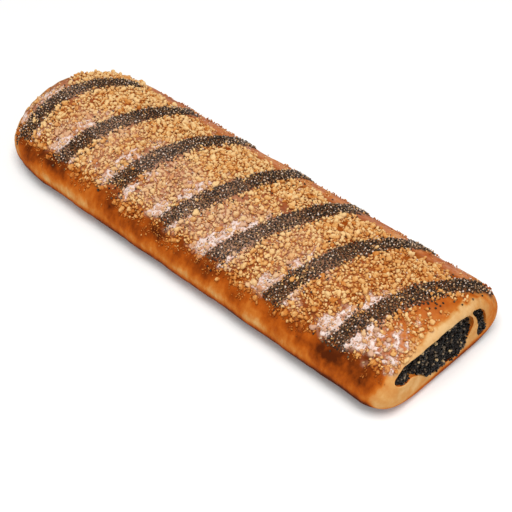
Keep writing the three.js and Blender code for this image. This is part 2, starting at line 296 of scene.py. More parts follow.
def crease_share(points):
    """1 in the middle of an upright crease of a wall, and 0 away from it."""
    x, y, z = points.T
    side = np.sign(y)
    wander = CREASE_WANDER * lumps(np.stack([5 * side, side, z], axis=1), 9, 31)
    uneven = CREASE_UNEVEN * lumps(np.stack([x, side, side], axis=1), 31, 32)
    place = (x + wander + CREASE_SHIFT * side) / CREASE_SPACING + uneven
    from_crease = np.abs(place - np.round(place)) * CREASE_SPACING
    on_wall = smooth(z, 3.5, 10) * smooth(z, 27, 17)
    strength = smooth(lumps(points, 30, 33), -0.5, 0.5)
    return np.exp(-((from_crease / CREASE_WIDTH) ** 2)) * on_wall * strength


def relief(points):
    """How far the crust stands out of the plain form at each point."""
    x, y, z = points.T
    topping = topping_share(y) * smooth(z, WIDEST_Z, WIDEST_Z + 6)
    from_band = np.abs(band_offset(x, y))
    rise = layered(points, UNEVENNESS) * smooth(z, *UNEVEN_ABOVE)
    rise += BAND_BED * smooth(from_band, 1.15, 0.7) * topping
    rise += CRUMB_BED * lumps(points, 2.6, 24) * smooth(from_band, 1, 1.3) * topping
    return rise - CREASE_DEPTH * crease_share(points)


# %% [markdown]
# ## Where the glaze lies
# Thinned icing was brushed over the roll and dried. It pooled milky along both sides of each
# band's near half and on the near shoulder at the open end. Elsewhere it left a faint
# veil on the near half, and a pinkish bloom on the strip along the far edge.
# One number again, from 0 for none to 1 for a thick pool, used by every material on the top. It is
# built up from parts in a table, each with an amount and the places between which it fades
# in, because a table is easier to compare with the real thing than one long formula.

# %% Glaze from 0 to 1
def built_up(parts, **places):
    """Sum of the parts: an amount each, and the (start, end) of its fade along some places."""
    total = 0
    for amount, fades in parts:
        for name, (start, end) in fades.items():
            amount = amount * smooth(places[name], start, end)
        total = total + amount
    return total


BEFORE_BAND = 2.0  # half bands from a band's middle to the middle of the strip before it
POOLS = (
    (-0.3, {}),
    (0.4, {"before_band": (1.7, 0.5), "y": (12, -12)}),
    (0.4, {"from_band": (3.2, 1.2), "y": (2, -24)}),
    (0.24, {"from_band": (3.2, 1.2), "y": (-26, -34)}),
    (0.45, {"x": (108, 120), "y": (-10, -26)}),
    (-0.5, {"from_band": (1.1, 0.6)}),
)
POOL_NOISE = ((0.4, 7, 41), (0.4, 2.8, 42), (0.4, 1.4, 45))
POOL_NOISE_SHARE = 0.85
POOL_FULL = 0.55  # sum of parts and noise at which a pool is at its thickest
VEIL = ((0.45, {"cloud": (-0.6, 0.2), "y": (14, -10), "z": (25, 29)}),)
VEIL_LOSS = ((0.85, {"x": (30, 110)}),)  # it thins out toward the open end
EDGE_BLOOM = ((0.36, {"noise": (-0.9, 0.1), "y": (27, 34), "x": (134, 124)}),)
GLAZE_HEIGHT = (21.5, 24)  # the glaze begins between these heights on the shoulders
GLAZE_NEAR_RISE = 2  # and this much higher on the near one
GLAZE_RAGGED = 2.2
GLAZE_ENDS = (143, 139)


def glaze_share(points):
    x, y, z = points.T
    offset = band_offset(x, y)
    noise = layered(points, POOL_NOISE)
    near_bands = {"from_band": np.abs(offset), "before_band": np.abs(offset + BEFORE_BAND)}
    pools = POOL_NOISE_SHARE * noise + built_up(POOLS, x=x, y=y, **near_bands)
    veil = built_up(VEIL, cloud=lumps(points, 15, 43), y=y, z=z) * (1 - built_up(VEIL_LOSS, x=x))
    bloom = built_up(EDGE_BLOOM, noise=noise, x=x, y=y)
    edge_height = z + GLAZE_RAGGED * lumps(points, 6, 44) - GLAZE_NEAR_RISE * smooth(y, 0, -10)
    topping = smooth(edge_height, *GLAZE_HEIGHT) * smooth(np.abs(x), *GLAZE_ENDS)
    return np.clip(np.maximum(smooth(pools, 0, POOL_FULL), veil + bloom), 0, 1) * topping


# %% [markdown]
# ## The open ends
# At each end the dough closes round two openings: a wide lens of filling in the middle and a thin
# turn of it beside. Their edges are smooth curves through a few measured places, the
# same at both ends but drawn in at the far one.
# A boolean cut would leave thin, uneven faces round the lips. It is cleaner to build
# the end face as a net of triangles with two holes in it, and to roll the rim of each hole
# inwards over a small radius, as soft dough does.

# %% Edges of the filling (y, z)
CORE_UPPER_EDGE = (
    (-37.8, 20.3), (-33.4, 24.4), (-28, 27.1), (-19, 29.4), (-8, 30.4),
    (4, 30.1), (11.5, 29.3), (14.8, 27.6), (17.5, 24.4), (19, 20.6),
)
CORE_LOWER_EDGE = (
    (-37.5, 19.3), (-31.5, 16.9), (-26.8, 18.2), (-21, 14.8), (-15.5, 10.6),
    (-9, 7.9), (-1, 7.6), (6, 7.8), (12, 10), (16.4, 13.9), (18.9, 19.2),
)
TURN_OUTER_EDGE = (
    (17.2, 29.3), (21.5, 27.2), (26.4, 23.5), (28.9, 18.6), (30, 12.9), (29.8, 9), (28, 6.7),
)
TURN_INNER_EDGE = (
    (17.3, 28.3), (20.1, 24.2), (22.3, 20), (23.5, 16.2), (23.8, 12.6), (24.3, 9.6), (26.6, 6.9),
)
SCALE_NEAR = np.array([1.0, 1.0])
SCALE_MIDDLE = np.array([1.06, 1.07])
SCALE_FAR = np.array([0.8, 0.95])
SWELL_RUN = 40  # the filling swells from an end's size to the middle's over this length


def filling_scale(x):
    share = min(max((HALF_LENGTH - abs(x)) / SWELL_RUN, 0), 1)
    end = SCALE_NEAR if x > 0 else SCALE_FAR
    return end + (SCALE_MIDDLE - end) * share


def smooth_curve(places, count):
    """`count` points, evenly apart, on a smooth curve through the places."""
    known = np.array(places, dtype=float)
    padded = np.vstack([known[:1], known, known[-1:]])
    t = np.linspace(0, 1, 20, endpoint=False)[:, None]
    runs = []
    for a, b, c, d in zip(padded, padded[1:], padded[2:], padded[3:]):
        first, second = (c - a) / 2, (d - b) / 2
        cubic = (2 * b - 2 * c + first + second) * t**3 + (3 * c - 3 * b - 2 * first - second) * t**2
        runs.append(cubic + first * t + b)
    dense = np.vstack(runs + [known[-1:]])
    travelled = np.concatenate([[0], np.cumsum(np.linalg.norm(np.diff(dense, axis=0), axis=1))])
    even = np.linspace(0, travelled[-1], count)
    return np.stack([np.interp(even, travelled, dense[:, i]) for i in (0, 1)], axis=1)


def strip_grid(lower_edge, upper_edge, along, across):
    """A grid of (y, z) points that fills the strip between two edges."""
    lower, upper = smooth_curve(lower_edge, along + 1), smooth_curve(upper_edge, along + 1)
    share = np.linspace(0, 1, across + 1)[None, :, None]
    return lower[:, None] * (1 - share) + upper[:, None] * share


def rim_of(grid):
    """The grid's outline, anticlockwise as seen from +X."""
    return np.vstack([grid[:-1, 0], grid[-1, :-1], grid[:0:-1, -1], grid[0, :0:-1]])


def even_outline(rim, spacing):
    """The rim with its points evenly apart and its corners eased."""
    closed = np.vstack([rim, rim[:1]])
    travelled = np.concatenate([[0], np.cumsum(np.linalg.norm(np.diff(closed, axis=0), axis=1))])
    even = np.linspace(0, travelled[-1], round(travelled[-1] / spacing), endpoint=False)
    outline = np.stack([np.interp(even, travelled, closed[:, i]) for i in (0, 1)], axis=1)
    for _ in range(2):
        outline = (np.roll(outline, 1, axis=0) + 2 * outline + np.roll(outline, -1, axis=0)) / 4
    return outline


OUTLINE_SPACING = 0.8
CORE_STEPS = (88, 20)  # squares along the strip and across it
TURN_STEPS = (34, 8)
core_grid = strip_grid(CORE_LOWER_EDGE, CORE_UPPER_EDGE, *CORE_STEPS)
turn_grid = strip_grid(TURN_INNER_EDGE, TURN_OUTER_EDGE, *TURN_STEPS)
outlines = {
    "core": even_outline(rim_of(core_grid), OUTLINE_SPACING),
    "turn": even_outline(rim_of(turn_grid), OUTLINE_SPACING),
}
print("points round the openings:", {name: len(outline) for name, outline in outlines.items()})

# %% [markdown]
# ## How far the end face reaches
# Seen along the roll, each place of the end face lies where the section has shrunk
# just past it. That reach is found by halving: take a station where the place is still inside
# the dough and one where it is outside, and keep the half in which the change lies.

# %% The end face as a reach over (y, z)
CAP_START = HALF_LENGTH - 3.5
HALVINGS = 24


def inside_section(x, y, z):
    half, top, floor = half_width(x, np.sign(y)), crust_top(x), crust_base(x)
    rise = np.maximum(z - WIDEST_Z, 0) / (top - WIDEST_Z)
    upper = (np.abs(y) / half) ** TOP_POWER_Y + rise**TOP_POWER_Z
    drop = np.maximum(WIDEST_Z - z, 0) / (WIDEST_Z + BASE_SINK - floor)
    lower = (np.abs(y) / half) ** BASE_POWER + drop**BASE_POWER
    return (np.where(z >= WIDEST_Z, upper, lower) < 1) & (z >= floor)


def end_reach(sign, flat):
    """x of the end face at each (y, z)."""
    y, z = flat.T
    inner, outer = np.full(len(y), CAP_START), np.full(len(y), HALF_LENGTH)
    for _ in range(HALVINGS):
        middle = (inner + outer) / 2
        inside = inside_section(sign * middle, y, z)
        inner = np.where(inside, middle, inner)
        outer = np.where(inside, outer, middle)
    return sign * (inner + outer) / 2


# %% [markdown]
# ## The dough
# The crust is a tube of rings, one about every millimetre, closed at both ends by the
# triangle nets, with the two channels running through. Even spacing round the
# section matters for the relief, so the angles are chosen by arc length. The flat base shows
# little and gets wider steps.

# %% Rings of the crust
RING_SPACING = 1.05
ROUND_SPACING = 1.0
BASE_STEPS = 0.3  # share of the points that the base gets for its length


def even_angles(spacing):
    dense = np.linspace(0, 2 * np.pi, 6001)
    ring = plain_crust(np.zeros_like(dense), dense)
    steps = np.linalg.norm(np.diff(ring, axis=0), axis=1)
    steps *= np.where(np.sin(dense[1:]) < -0.6, BASE_STEPS, 1)
    travelled = np.concatenate([[0], np.cumsum(steps)])
    count = round(travelled[-1] / spacing)
    return np.interp(np.linspace(0, travelled[-1], count, endpoint=False), travelled, dense)


def end_stations(run):
    """Stations from the start of an end's rounding to its cap, evenly apart on the curve."""
    last = math.asin((CAP_START - HALF_LENGTH + run) / run)
    turns = np.linspace(0, last, math.ceil(run * last / RING_SPACING) + 1)
    return HALF_LENGTH - run + run * np.sin(turns)


near_stations = end_stations(NEAR_END["run"])
far_stations = -end_stations(FAR_END["run"])[::-1]
straight = near_stations[0] - far_stations[-1]
middle_stations = np.linspace(far_stations[-1], near_stations[0], round(straight / RING_SPACING) + 1)
stations = np.concatenate([far_stations, middle_stations[1:-1], near_stations])
angles = even_angles(ROUND_SPACING)
print(len(stations), "rings of", len(angles), "points")


# %% Tools to join loops of points
class Net:
    """Points and faces that are gathered piece by piece."""

    def __init__(self):
        self.points = []
        self.faces = []
        self.count = 0

    def add(self, points):
        first = self.count
        self.points.append(points)
        self.count += len(points)
        return np.arange(first, self.count)

    def bridge(self, loop, following):
        faces = np.stack([loop, np.roll(loop, -1), np.roll(following, -1), following], axis=1)
        self.faces.append(faces)


def grown(outline, distance):
    """The outline, moved outwards by a distance."""
    along = np.roll(outline, -1, axis=0) - np.roll(outline, 1, axis=0)
    outward = np.stack([along[:, 1], -along[:, 0]], axis=1)
    return outline + outward / np.linalg.norm(outward, axis=1, keepdims=True) * distance


def inside_outline(places, outline):
    """Which places lie inside a closed outline, by counting the edges that each looks past."""
    y, z = places.T
    inside = np.zeros(len(places), dtype=bool)
    for (y0, z0), (y1, z1) in zip(outline, np.roll(outline, -1, axis=0)):
        crosses = (z0 > z) != (z1 > z)
        if z1 != z0:
            inside ^= crosses & (y < (y1 - y0) * (z - z0) / (z1 - z0) + y0)
    return inside


# %% The crust's tube
dough = Net()
rings = [dough.add(plain_crust(np.full(len(angles), x), angles)) for x in stations]
for ring, following in zip(rings, rings[1:]):
    dough.bridge(ring, following)
print("the tube has", dough.count, "points")

# %% Lips of the openings
LIP_STEPS = 5
CHANNEL_GAP = 0.3
LIP_RADIUS = 0.9
LIP_LEAST = 0.2
LIP_SHARE = 0.25  # share of the dough between the two openings that each lip may take


def lip_radius(name):
    """The lip's radius at each point: smaller where the other opening is close."""
    other = outlines["turn" if name == "core" else "core"]
    room = np.linalg.norm(outlines[name][:, None] - other[None], axis=2).min(axis=1)
    return np.clip(LIP_SHARE * (room - 2 * CHANNEL_GAP), LIP_LEAST, LIP_RADIUS)[:, None]


def lip_loops(sign, name):
    """Loops from deep in the channel out to the end face, over the rounded lip."""
    outline = outlines[name] * filling_scale(sign * HALF_LENGTH)
    radius = lip_radius(name) * filling_scale(sign * HALF_LENGTH).min()
    loops = []
    for turn in np.linspace(0, math.pi / 2, LIP_STEPS + 1):
        flat = grown(outline, CHANNEL_GAP + radius * (1 - math.cos(turn)))
        depth = radius[:, 0] * (1 - math.sin(turn))
        loops.append((flat, end_reach(sign, flat) - sign * depth))
    return loops


# %% An end face with two holes
FACE_SPACING = 0.95
FACE_CLEAR = 0.6  # share of the spacing that points keep from an edge


def face_points(rim, holes):
    """Staggered rows of points on the face, clear of its rim and of the holes."""
    low_corner, high_corner = rim.min(axis=0), rim.max(axis=0)
    rows = np.arange(low_corner[1], high_corner[1], FACE_SPACING * math.sqrt(3) / 2)
    places = [
        (y + FACE_SPACING / 2 * (i % 2), z)
        for i, z in enumerate(rows)
        for y in np.arange(low_corner[0], high_corner[0], FACE_SPACING)
    ]
    places = np.array(places)
    keep = inside_outline(places, rim)
    for hole in holes:
        keep &= ~inside_outline(places, hole)
    for edge in (rim, *holes):
        apart = np.linalg.norm(places[:, None] - edge[None], axis=2).min(axis=1)
        keep &= apart > FACE_SPACING * FACE_CLEAR
    return places[keep]


def close_end(sign, ring, section):
    """Joins a ring of the tube to the channel lips with triangles. Returns the lips' inner loops."""
    rim = section[:, 1:]
    lips = {name: lip_loops(sign, name) for name in outlines}
    holes = [loops[-1][0] for loops in lips.values()]
    inner = face_points(rim, holes)
    indices = [ring]
    inner_loops = {}
    for name, loops in lips.items():
        placed = [dough.add(np.column_stack([x, flat])) for flat, x in loops]
        for loop, following in zip(placed, placed[1:]):
            dough.bridge(*((following, loop) if sign > 0 else (loop, following)))
        indices.append(placed[-1])
        inner_loops[name] = placed[0]
    indices.append(dough.add(np.column_stack([end_reach(sign, inner), inner])))
    flat = np.vstack([rim, *holes, inner])
    index = np.concatenate(indices)
    edges = []
    start = 0
    for size in (len(rim), *(len(hole) for hole in holes)):
        edges += [(start + i, start + (i + 1) % size) for i in range(size)]
        start += size
    _, _, triangles, origin, _, _ = delaunay_2d_cdt([Vector(p) for p in flat], edges, [], 1, 1e-5)
    triangles = np.array([[origin[corner][0] for corner in triangle] for triangle in triangles])
    middles = flat[triangles].mean(axis=1)
    for hole in holes:
        outside = ~inside_outline(middles, hole)
        triangles, middles = triangles[outside], middles[outside]
    dough.faces.append(index[triangles if sign > 0 else triangles[:, ::-1]])
    return inner_loops


near_loops = close_end(1, rings[-1], plain_crust(np.full(len(angles), stations[-1]), angles))
far_loops = close_end(-1, rings[0], plain_crust(np.full(len(angles), stations[0]), angles))
print("with its end faces the dough has", dough.count, "points")

# %% Channels through the dough
CHANNEL_STATIONS = (-141, -105, -50, 0, 50, 105, 141)
channel_start = dough.count
for name, outline in outlines.items():
    loops = [far_loops[name]]
    for x in CHANNEL_STATIONS:
        flat = grown(outline * filling_scale(x), CHANNEL_GAP)
        loops.append(dough.add(np.column_stack([np.full(len(flat), float(x)), flat])))
    loops.append(near_loops[name])
    for loop, following in zip(loops, loops[1:]):
        dough.bridge(following, loop)
dough_points = np.vstack(dough.points)
crust = make_mesh("baked_crust", dough_points, dough.faces)
print("the dough has", len(crust.data.polygons), "faces")

# %% [markdown]
# ## Relief, browning and painted shade of the crust
# The finished net is moved along its own normals by the relief. Then each point gets numbers
# that its material can read: how far it is baked, with painted shade in the dark line at the foot,
# how much painted shade lies in the gaps under the crumbs, how much pressed seed and how much
# glaze it carries. Numbers on points follow the form exactly, which a flat texture could not do on
# a rounded loaf without stretching.

# %% Raise the relief
def point_normals(piece):
    normals = np.empty(len(piece.data.vertices) * 3, dtype=np.float32)
    piece.data.vertex_normals.foreach_get("vector", normals)
    return normals.reshape(-1, 3)


def move_points(piece, points):
    piece.data.vertices.foreach_set("co", (np.asarray(points) * MM).astype(np.float32).ravel())
    piece.data.update()


outer = np.arange(len(dough_points)) < channel_start
dough_points += point_normals(crust) * (relief(dough_points) * outer)[:, None]
dough_points[:, 2] = np.maximum(dough_points[:, 2], 0)
move_points(crust, dough_points)
crust_relief = relief(dough_points)[outer]
print("relief of the crust, mm:", crust_relief.min().round(2), "to", crust_relief.max().round(2))

# %% How far each place is baked, with painted shade along the foot
NEAR_WALL = (
    (0.5, {}),
    (0.16, {"z": (13, 21)}),  # darker up to the shoulder
    (0.24, {"x": (60, 120)}),  # and toward the open end
    (-0.3, {"x": (129, 139)}),  # where the rim is pale
    (0.08, {"x": (-70, -110)}),
    (-0.04, {"x": (-118, -138)}),
)
NEAR_WALL_CLOUD = ((0.07, 23, 55),)
FAR_WALL = ((0.44, {}), (0.14, {"z": (8, 20)}))
TOP = ((0.62, {}), (-0.16, {"y": (22, 34)}), (-0.12, {"toward_end": (129, 140)}))
# The dark line at the foot is partly browning and partly painted shade, where the foot turns under.
FOOT = ((0.6, {"z": (12.4, 7.4)}), (-0.16, {"z": (16.5, 12)}))  # dark line, paler strip above
UNDER_BANDS = (  # upper_z is z again, for what ends further up
    (0.16, {"from_band": (1.8, 0.9), "y": (-20, -30), "z": (16, 20), "upper_z": (27, 24)}),
)
CREASE_PALER = 0.1
MOTTLING = ((0.14, 12, 51), (0.09, 4.5, 52))
OPEN_END = (
    (0.17, {}),
    (0.22, {"y": (22, 35)}),  # the two corners
    (0.05, {"y": (-34, -40)}),
    (0.22, {"z": (9, 5), "y": (-16, 0)}),  # below the filling
    (-0.12, {"z": (22, 27), "y": (24, 12)}),  # the pale lip above it
    # The dark line at the foot of the open end is partly browning and partly painted shade.
    (0.45, {"z": (6.5, 4)}),  # the line at the foot
)
OPEN_END_CLOUD = ((0.06, 5, 53),)
FACING_END = (0.3, 0.55)  # x of the normal, between which the wall turns into the end face


def bake_and_shade_share(points, normals):
    """0 is pale dough, 0.5 orange-brown, 1 nearly burnt. The dark line at the foot is partly painted shade.
    """
    x, y, z = points.T
    near_wall = built_up(NEAR_WALL, x=x, z=z) + layered(points, NEAR_WALL_CLOUD)
    far_wall = built_up(FAR_WALL, z=z)
    wall = far_wall + (near_wall - far_wall) * smooth(y, 10, -10)
    top = built_up(TOP, y=y, toward_end=along_last_band(x, y))
    tone = wall + (top - wall) * smooth(z, 26, 32) + built_up(FOOT, z=z)
    tone += layered(points, MOTTLING) * smooth(x, 150, 90) * (0.4 + smooth(z, 5, 16))
    tone += built_up(UNDER_BANDS, from_band=np.abs(band_offset(x, y)), y=y, z=z, upper_z=z)
    tone -= CREASE_PALER * crease_share(points)
    open_end = built_up(OPEN_END, y=y, z=z) + layered(points, OPEN_END_CLOUD)
    return tone + (open_end - tone) * smooth(np.abs(normals[:, 0]), *FACING_END)


# %% Numbers that the crust's material reads
CHANNEL_TONE = 0.12
END_FIELD = (127, 131)  # past this line, parallel to the last band, fewer crumbs lie

x, y, z = dough_points.T
normals = point_normals(crust)
bake_and_shade = bake_and_shade_share(dough_points, normals)
bake_and_shade[~outer] = CHANNEL_TONE
band_gap = np.abs(band_offset(x, y)) + 0.2 * lumps(dough_points, 3, 54)
poppy_bed = smooth(band_gap, 1.1, 0.75) * band_length_share(dough_points)
# painted shade: the crust is darkened in the gaps between the crumbs of the field
shade_under_crumbs = smooth(y, 33, 26) * smooth(z, 21, 25)
shade_under_crumbs *= 1 - 0.8 * smooth(along_last_band(x, y), *END_FIELD)
on_wall = smooth(z, 28, 20) * (1 - smooth(np.abs(normals[:, 0]), *FACING_END))
keep_on_points(crust, "bake_and_shade", bake_and_shade)
keep_on_points(crust, "poppy", poppy_bed * outer)
keep_on_points(crust, "crumb_gap_shade", shade_under_crumbs * outer)
keep_on_points(crust, "wall", on_wall * outer)
keep_on_points(crust, "glaze", glaze_share(dough_points) * outer)
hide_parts("dough")
print("tone of the crust", bake_and_shade[outer].min().round(2), "to", bake_and_shade[outer].max().round(2))

# %% [markdown]
# ## The poppy filling
# The filling is ground seed cooked with milk and sugar: nearly black, moist and coarse. It shows
# only at the open ends, where it sits a little behind the lips and bulges unevenly.
# Each strip of filling is a lumpy face at either end, joined by plain rings through the dough. Whole
# seeds and a few pale bits of nut are set into both faces afterwards as bodies of their own.

# %% Filling paste
RECESS_TOP = 4.2  # how far the face lies behind the lips at its top
RECESS_LOW = 0.3
RECESS_HEIGHTS = (8, 27)
PASTE_LUMPS = ((1.8, 5.2, 61), (0.8, 2.4, 62))
PASTE_NOISE_X = 7.0  # each end takes its lumps from its own slice of the noise
PASTE_OUT = 0.3  # how far a lump may stand out of the end face
PASTE_STATIONS = (-105.0, 0.0, 105.0)


def paste_reach(sign, flat):
    """x of the filling's face at each (y, z)."""
    depth = RECESS_LOW + (RECESS_TOP - RECESS_LOW) * smooth(flat[:, 1], *RECESS_HEIGHTS)
    place = np.column_stack([np.full(len(flat), PASTE_NOISE_X * sign), flat])
    return end_reach(sign, flat) - sign * np.maximum(depth - layered(place, PASTE_LUMPS), -PASTE_OUT)


def grid_faces(index):
    a, b, c, d = index[:-1, :-1], index[1:, :-1], index[1:, 1:], index[:-1, 1:]
    return np.stack([a, b, c, d], axis=-1).reshape(-1, 4)


def filling_paste(name, grid, node):
    net = Net()
    shape = grid.shape[:2]
    rims = {}
    for sign in (-1, 1):
        flat = grid.reshape(-1, 2) * filling_scale(sign * HALF_LENGTH)
        index = net.add(np.column_stack([paste_reach(sign, flat), flat])).reshape(shape)
        faces = grid_faces(index)
        net.faces.append(faces if sign > 0 else faces[:, ::-1])
        rims[sign] = rim_of(index[..., None])[:, 0]
    loops = [rims[-1]]
    for x in PASTE_STATIONS:
        flat = rim_of(grid) * filling_scale(x)
        loops.append(net.add(np.column_stack([np.full(len(flat), x), flat])))
    loops.append(rims[1])
    for loop, following in zip(loops, loops[1:]):
        net.bridge(loop, following)
    paste = make_mesh(name, np.vstack(net.points), net.faces)
    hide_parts(node)
    return paste


core_paste = filling_paste("poppy_paste_core", core_grid, "filling_core")
turn_paste = filling_paste("poppy_paste_turn", turn_grid, "filling_turn")
print("paste faces:", len(core_paste.data.polygons), "and", len(turn_paste.data.polygons))

# %% [markdown]
# ## Many small bodies in one mesh
# Thousands of crumbs and seeds as objects of their own would be slow and hard to handle. Each kind
# is one mesh instead: a few crumbs, copied to many places, each copy turned and scaled
# by chance. A crumb is not a ball. Butter crumbs are beads of dough that baked together, so
# the form is the outline of several overlapping balls, seen from their common middle.

# %% Shapes of crumbs and seeds
BEAD_OFFSET = 0.5  # how far the middle of each bead lies from that of the crumb, as a share
BEAD_RADII = (0.42, 0.62)
BEAD_ROUGHNESS = 0.06
BEAD_STRETCH = (1.2, 1.0, 0.82)
SEED_STRETCH = (1.2, 1.0, 0.85)
DENT_DEPTH = 0.22
DENT_WIDTH = 0.5
DENT_SIDE = 0.2  # the dent lies past this share of the seed's width


def ball(subdivisions):
    """Directions evenly over a ball, and the triangles between them."""
    form = bmesh.new()
    bmesh.ops.create_icosphere(form, subdivisions=subdivisions, radius=1)
    points = np.array([corner.co[:] for corner in form.verts])
    triangles = np.array([[corner.index for corner in face.verts] for face in form.faces])
    form.free()
    return points, triangles


def bead_cluster(chance, beads, subdivisions):
    """A crumb: as many beads as asked for, baked into one lump."""
    directions, triangles = ball(subdivisions)
    centres = chance.normal(size=(beads, 3))
    centres *= BEAD_OFFSET / np.linalg.norm(centres, axis=1, keepdims=True)
    radii = chance.uniform(*BEAD_RADII, beads)
    along = directions @ centres.T
    reach = along + np.sqrt(np.maximum(along**2 - BEAD_OFFSET**2 + radii**2, 0))
    rough = 1 + BEAD_ROUGHNESS * chance.normal(size=(len(directions), 1))
    return directions * reach.max(axis=1, keepdims=True) * rough * BEAD_STRETCH, triangles


def kidney(subdivisions):
    """A poppy seed: longer than wide, and dented on one side."""
    directions, triangles = ball(subdivisions)
    dent = np.exp(-((directions[:, 0] / DENT_WIDTH) ** 2)) * (directions[:, 1] > DENT_SIDE)
    return directions * (1 - DENT_DEPTH * dent)[:, None] * SEED_STRETCH, triangles


def random_turns(chance, count):
    """Rotation matrices, evenly over all directions."""
    spins = chance.normal(size=(count, 4))
    w, x, y, z = (spins / np.linalg.norm(spins, axis=1, keepdims=True)).T
    return np.stack(
        [
            np.stack([1 - 2 * (y * y + z * z), 2 * (x * y - z * w), 2 * (x * z + y * w)], axis=1),
            np.stack([2 * (x * y + z * w), 1 - 2 * (x * x + z * z), 2 * (y * z - x * w)], axis=1),
            np.stack([2 * (x * z - y * w), 2 * (y * z + x * w), 1 - 2 * (x * x + y * y)], axis=1),
        ],
        axis=1,
    )


def scatter(name, shapes, places, sizes, chance):
    """One mesh with a copy of a shape at each place. Returns it, and which place each point is of."""
    which = chance.integers(len(shapes), size=len(places))
    turns = random_turns(chance, len(places))
    points, faces, owners = [], [], []
    count = 0
    for number, (shape, triangles) in enumerate(shapes):
        chosen = np.flatnonzero(which == number)
        copies = np.einsum("nij,vj->nvi", turns[chosen], shape) * sizes[chosen, None, None]
        copies += places[chosen, None]
        firsts = count + np.arange(len(chosen)) * len(shape)
        points.append(copies.reshape(-1, 3))
        faces.append((triangles[None] + firsts[:, None, None]).reshape(-1, 3))
        owners.append(np.repeat(chosen, len(shape)))
        count += copies.shape[0] * copies.shape[1]
    piece = make_mesh(name, np.vstack(points), faces)
    print(name, "has", len(places), "bodies and", len(piece.data.polygons), "triangles")
    return piece, np.vstack(points), np.concatenate(owners)


# %% [markdown]
# ## Keeping crumbs apart
# Real crumbs can't share a place. Each new one is therefore tried at a place on the crust and
# dropped if it comes too close to one that lies there already. Looking at every earlier crumb
# would take minutes, so the top is divided into small cells and only the cells around are searched.

# %% Places on the crust, and clear ones among them
LOWEST_ANGLE = 0.12  # nothing is scattered below this angle of the section
END_MARGIN = 3


def arc_table():
    """Angles over the top of the section, with how far each lies round it."""
    dense = np.linspace(LOWEST_ANGLE, math.pi - LOWEST_ANGLE, 3001)
    ring = plain_crust(np.zeros_like(dense), dense)
    steps = np.linalg.norm(np.diff(ring, axis=0), axis=1)
    return dense, np.concatenate([[0], np.cumsum(steps)])


top_angles, top_travel = arc_table()


def crust_places(chance, count):
    """Random places, even over the top and shoulders: points on the relief, and normals."""
    x = chance.uniform(-1, 1, count) * (HALF_LENGTH - END_MARGIN)
    angle = np.interp(chance.uniform(0, top_travel[-1], count), top_travel, top_angles)
    points, normals = plain_crust(x, angle), crust_normal(x, angle)
    return points + normals * relief(points)[:, None], normals


class Clearings:
    """Remembers round bodies by the cell they lie in."""

    def __init__(self, cell):
        self.cell = cell
        self.cells = {}

    def is_clear(self, x, y, z, room, share):
        column, row = int(x // self.cell), int(y // self.cell)
        for i in (column - 1, column, column + 1):
            for j in (row - 1, row, row + 1):
                for a, b, c, other in self.cells.get((i, j), ()):
                    apart = share * (room + other)
                    if (x - a) ** 2 + (y - b) ** 2 + (z - c) ** 2 < apart * apart:
                        return False
        return True

    def add(self, x, y, z, room):
        self.cells.setdefault((int(x // self.cell), int(y // self.cell)), []).append((x, y, z, room))


def take_clear(clearings, points, sizes, share, most):
    """Numbers of the points that find a clear place, in their order, up to `most`."""
    taken = []
    for number, ((x, y, z), room) in enumerate(zip(points.tolist(), sizes.tolist())):
        if clearings.is_clear(x, y, z, room, share):
            clearings.add(x, y, z, room)
            taken.append(number)
            if len(taken) == most:
                break
    return np.array(taken)


# %% [markdown]
# ## Butter crumbs
# Crumbs fill the fields between the bands and thin out down the near shoulder. Few lie on the seeds,
# and they stop short of the strip along the far edge and of the smooth lips of the ends.
# Four sizes go on, the largest first: clumps, single crumbs, small ones, and dust that falls
# into the gaps. Last comes a coarser dust, in patches on that strip and down both shoulders.
# The share of the crust that they cover is compared with a noise, and not only with chance, so
# that the crumbs gather in patches as they do when a hand sprinkles them.

# %% Where crumbs lie
FIELD_COVER = 0.85
FIELD_FAR_Y = ((28, {}), (6, {"x": (-50, -100)}))
FIELD_NEAR_Z = ((20, {}), (2.5, {"x": (60, 110), "y": (0, -10)}))
FIELD_RAGGED = 3
FIELD_RAGGED_Z = 0.7  # share of that on the steep near shoulder
FIELD_FADE = 3.5
FIELD_FADE_Z = 4
FIELD_NEAR_END = (143.5, 140.5)
FIELD_FAR_END = (-144, -139)
BAND_CLEAR = (0.85, 1.15)  # half bands from a band's middle between which the crumbs begin
BAND_CLEAR_RAGGED = 0.25
LOSSES = (  # shares of the crumbs that are missing: past the last band, at the far end, in glaze
    ((0.2, {"toward_end": END_FIELD}), (0.45, {"toward_end": END_FIELD, "y": (-14, 4)})),
    ((0.4, {"x": (-127, -134)}),),
    ((0.3, {"glaze": (0.3, 0.8)}),),
)
SHOULDER_DUST = (  # on the near shoulder and the far one; upper_z is z again
    (0.85, {"y": (-20, -30), "z": (15, 22), "upper_z": (29, 26)}),
    (0.55, {"y": (25, 30), "z": (14, 22)}),
)
DUST_ENDS = (143, 138)


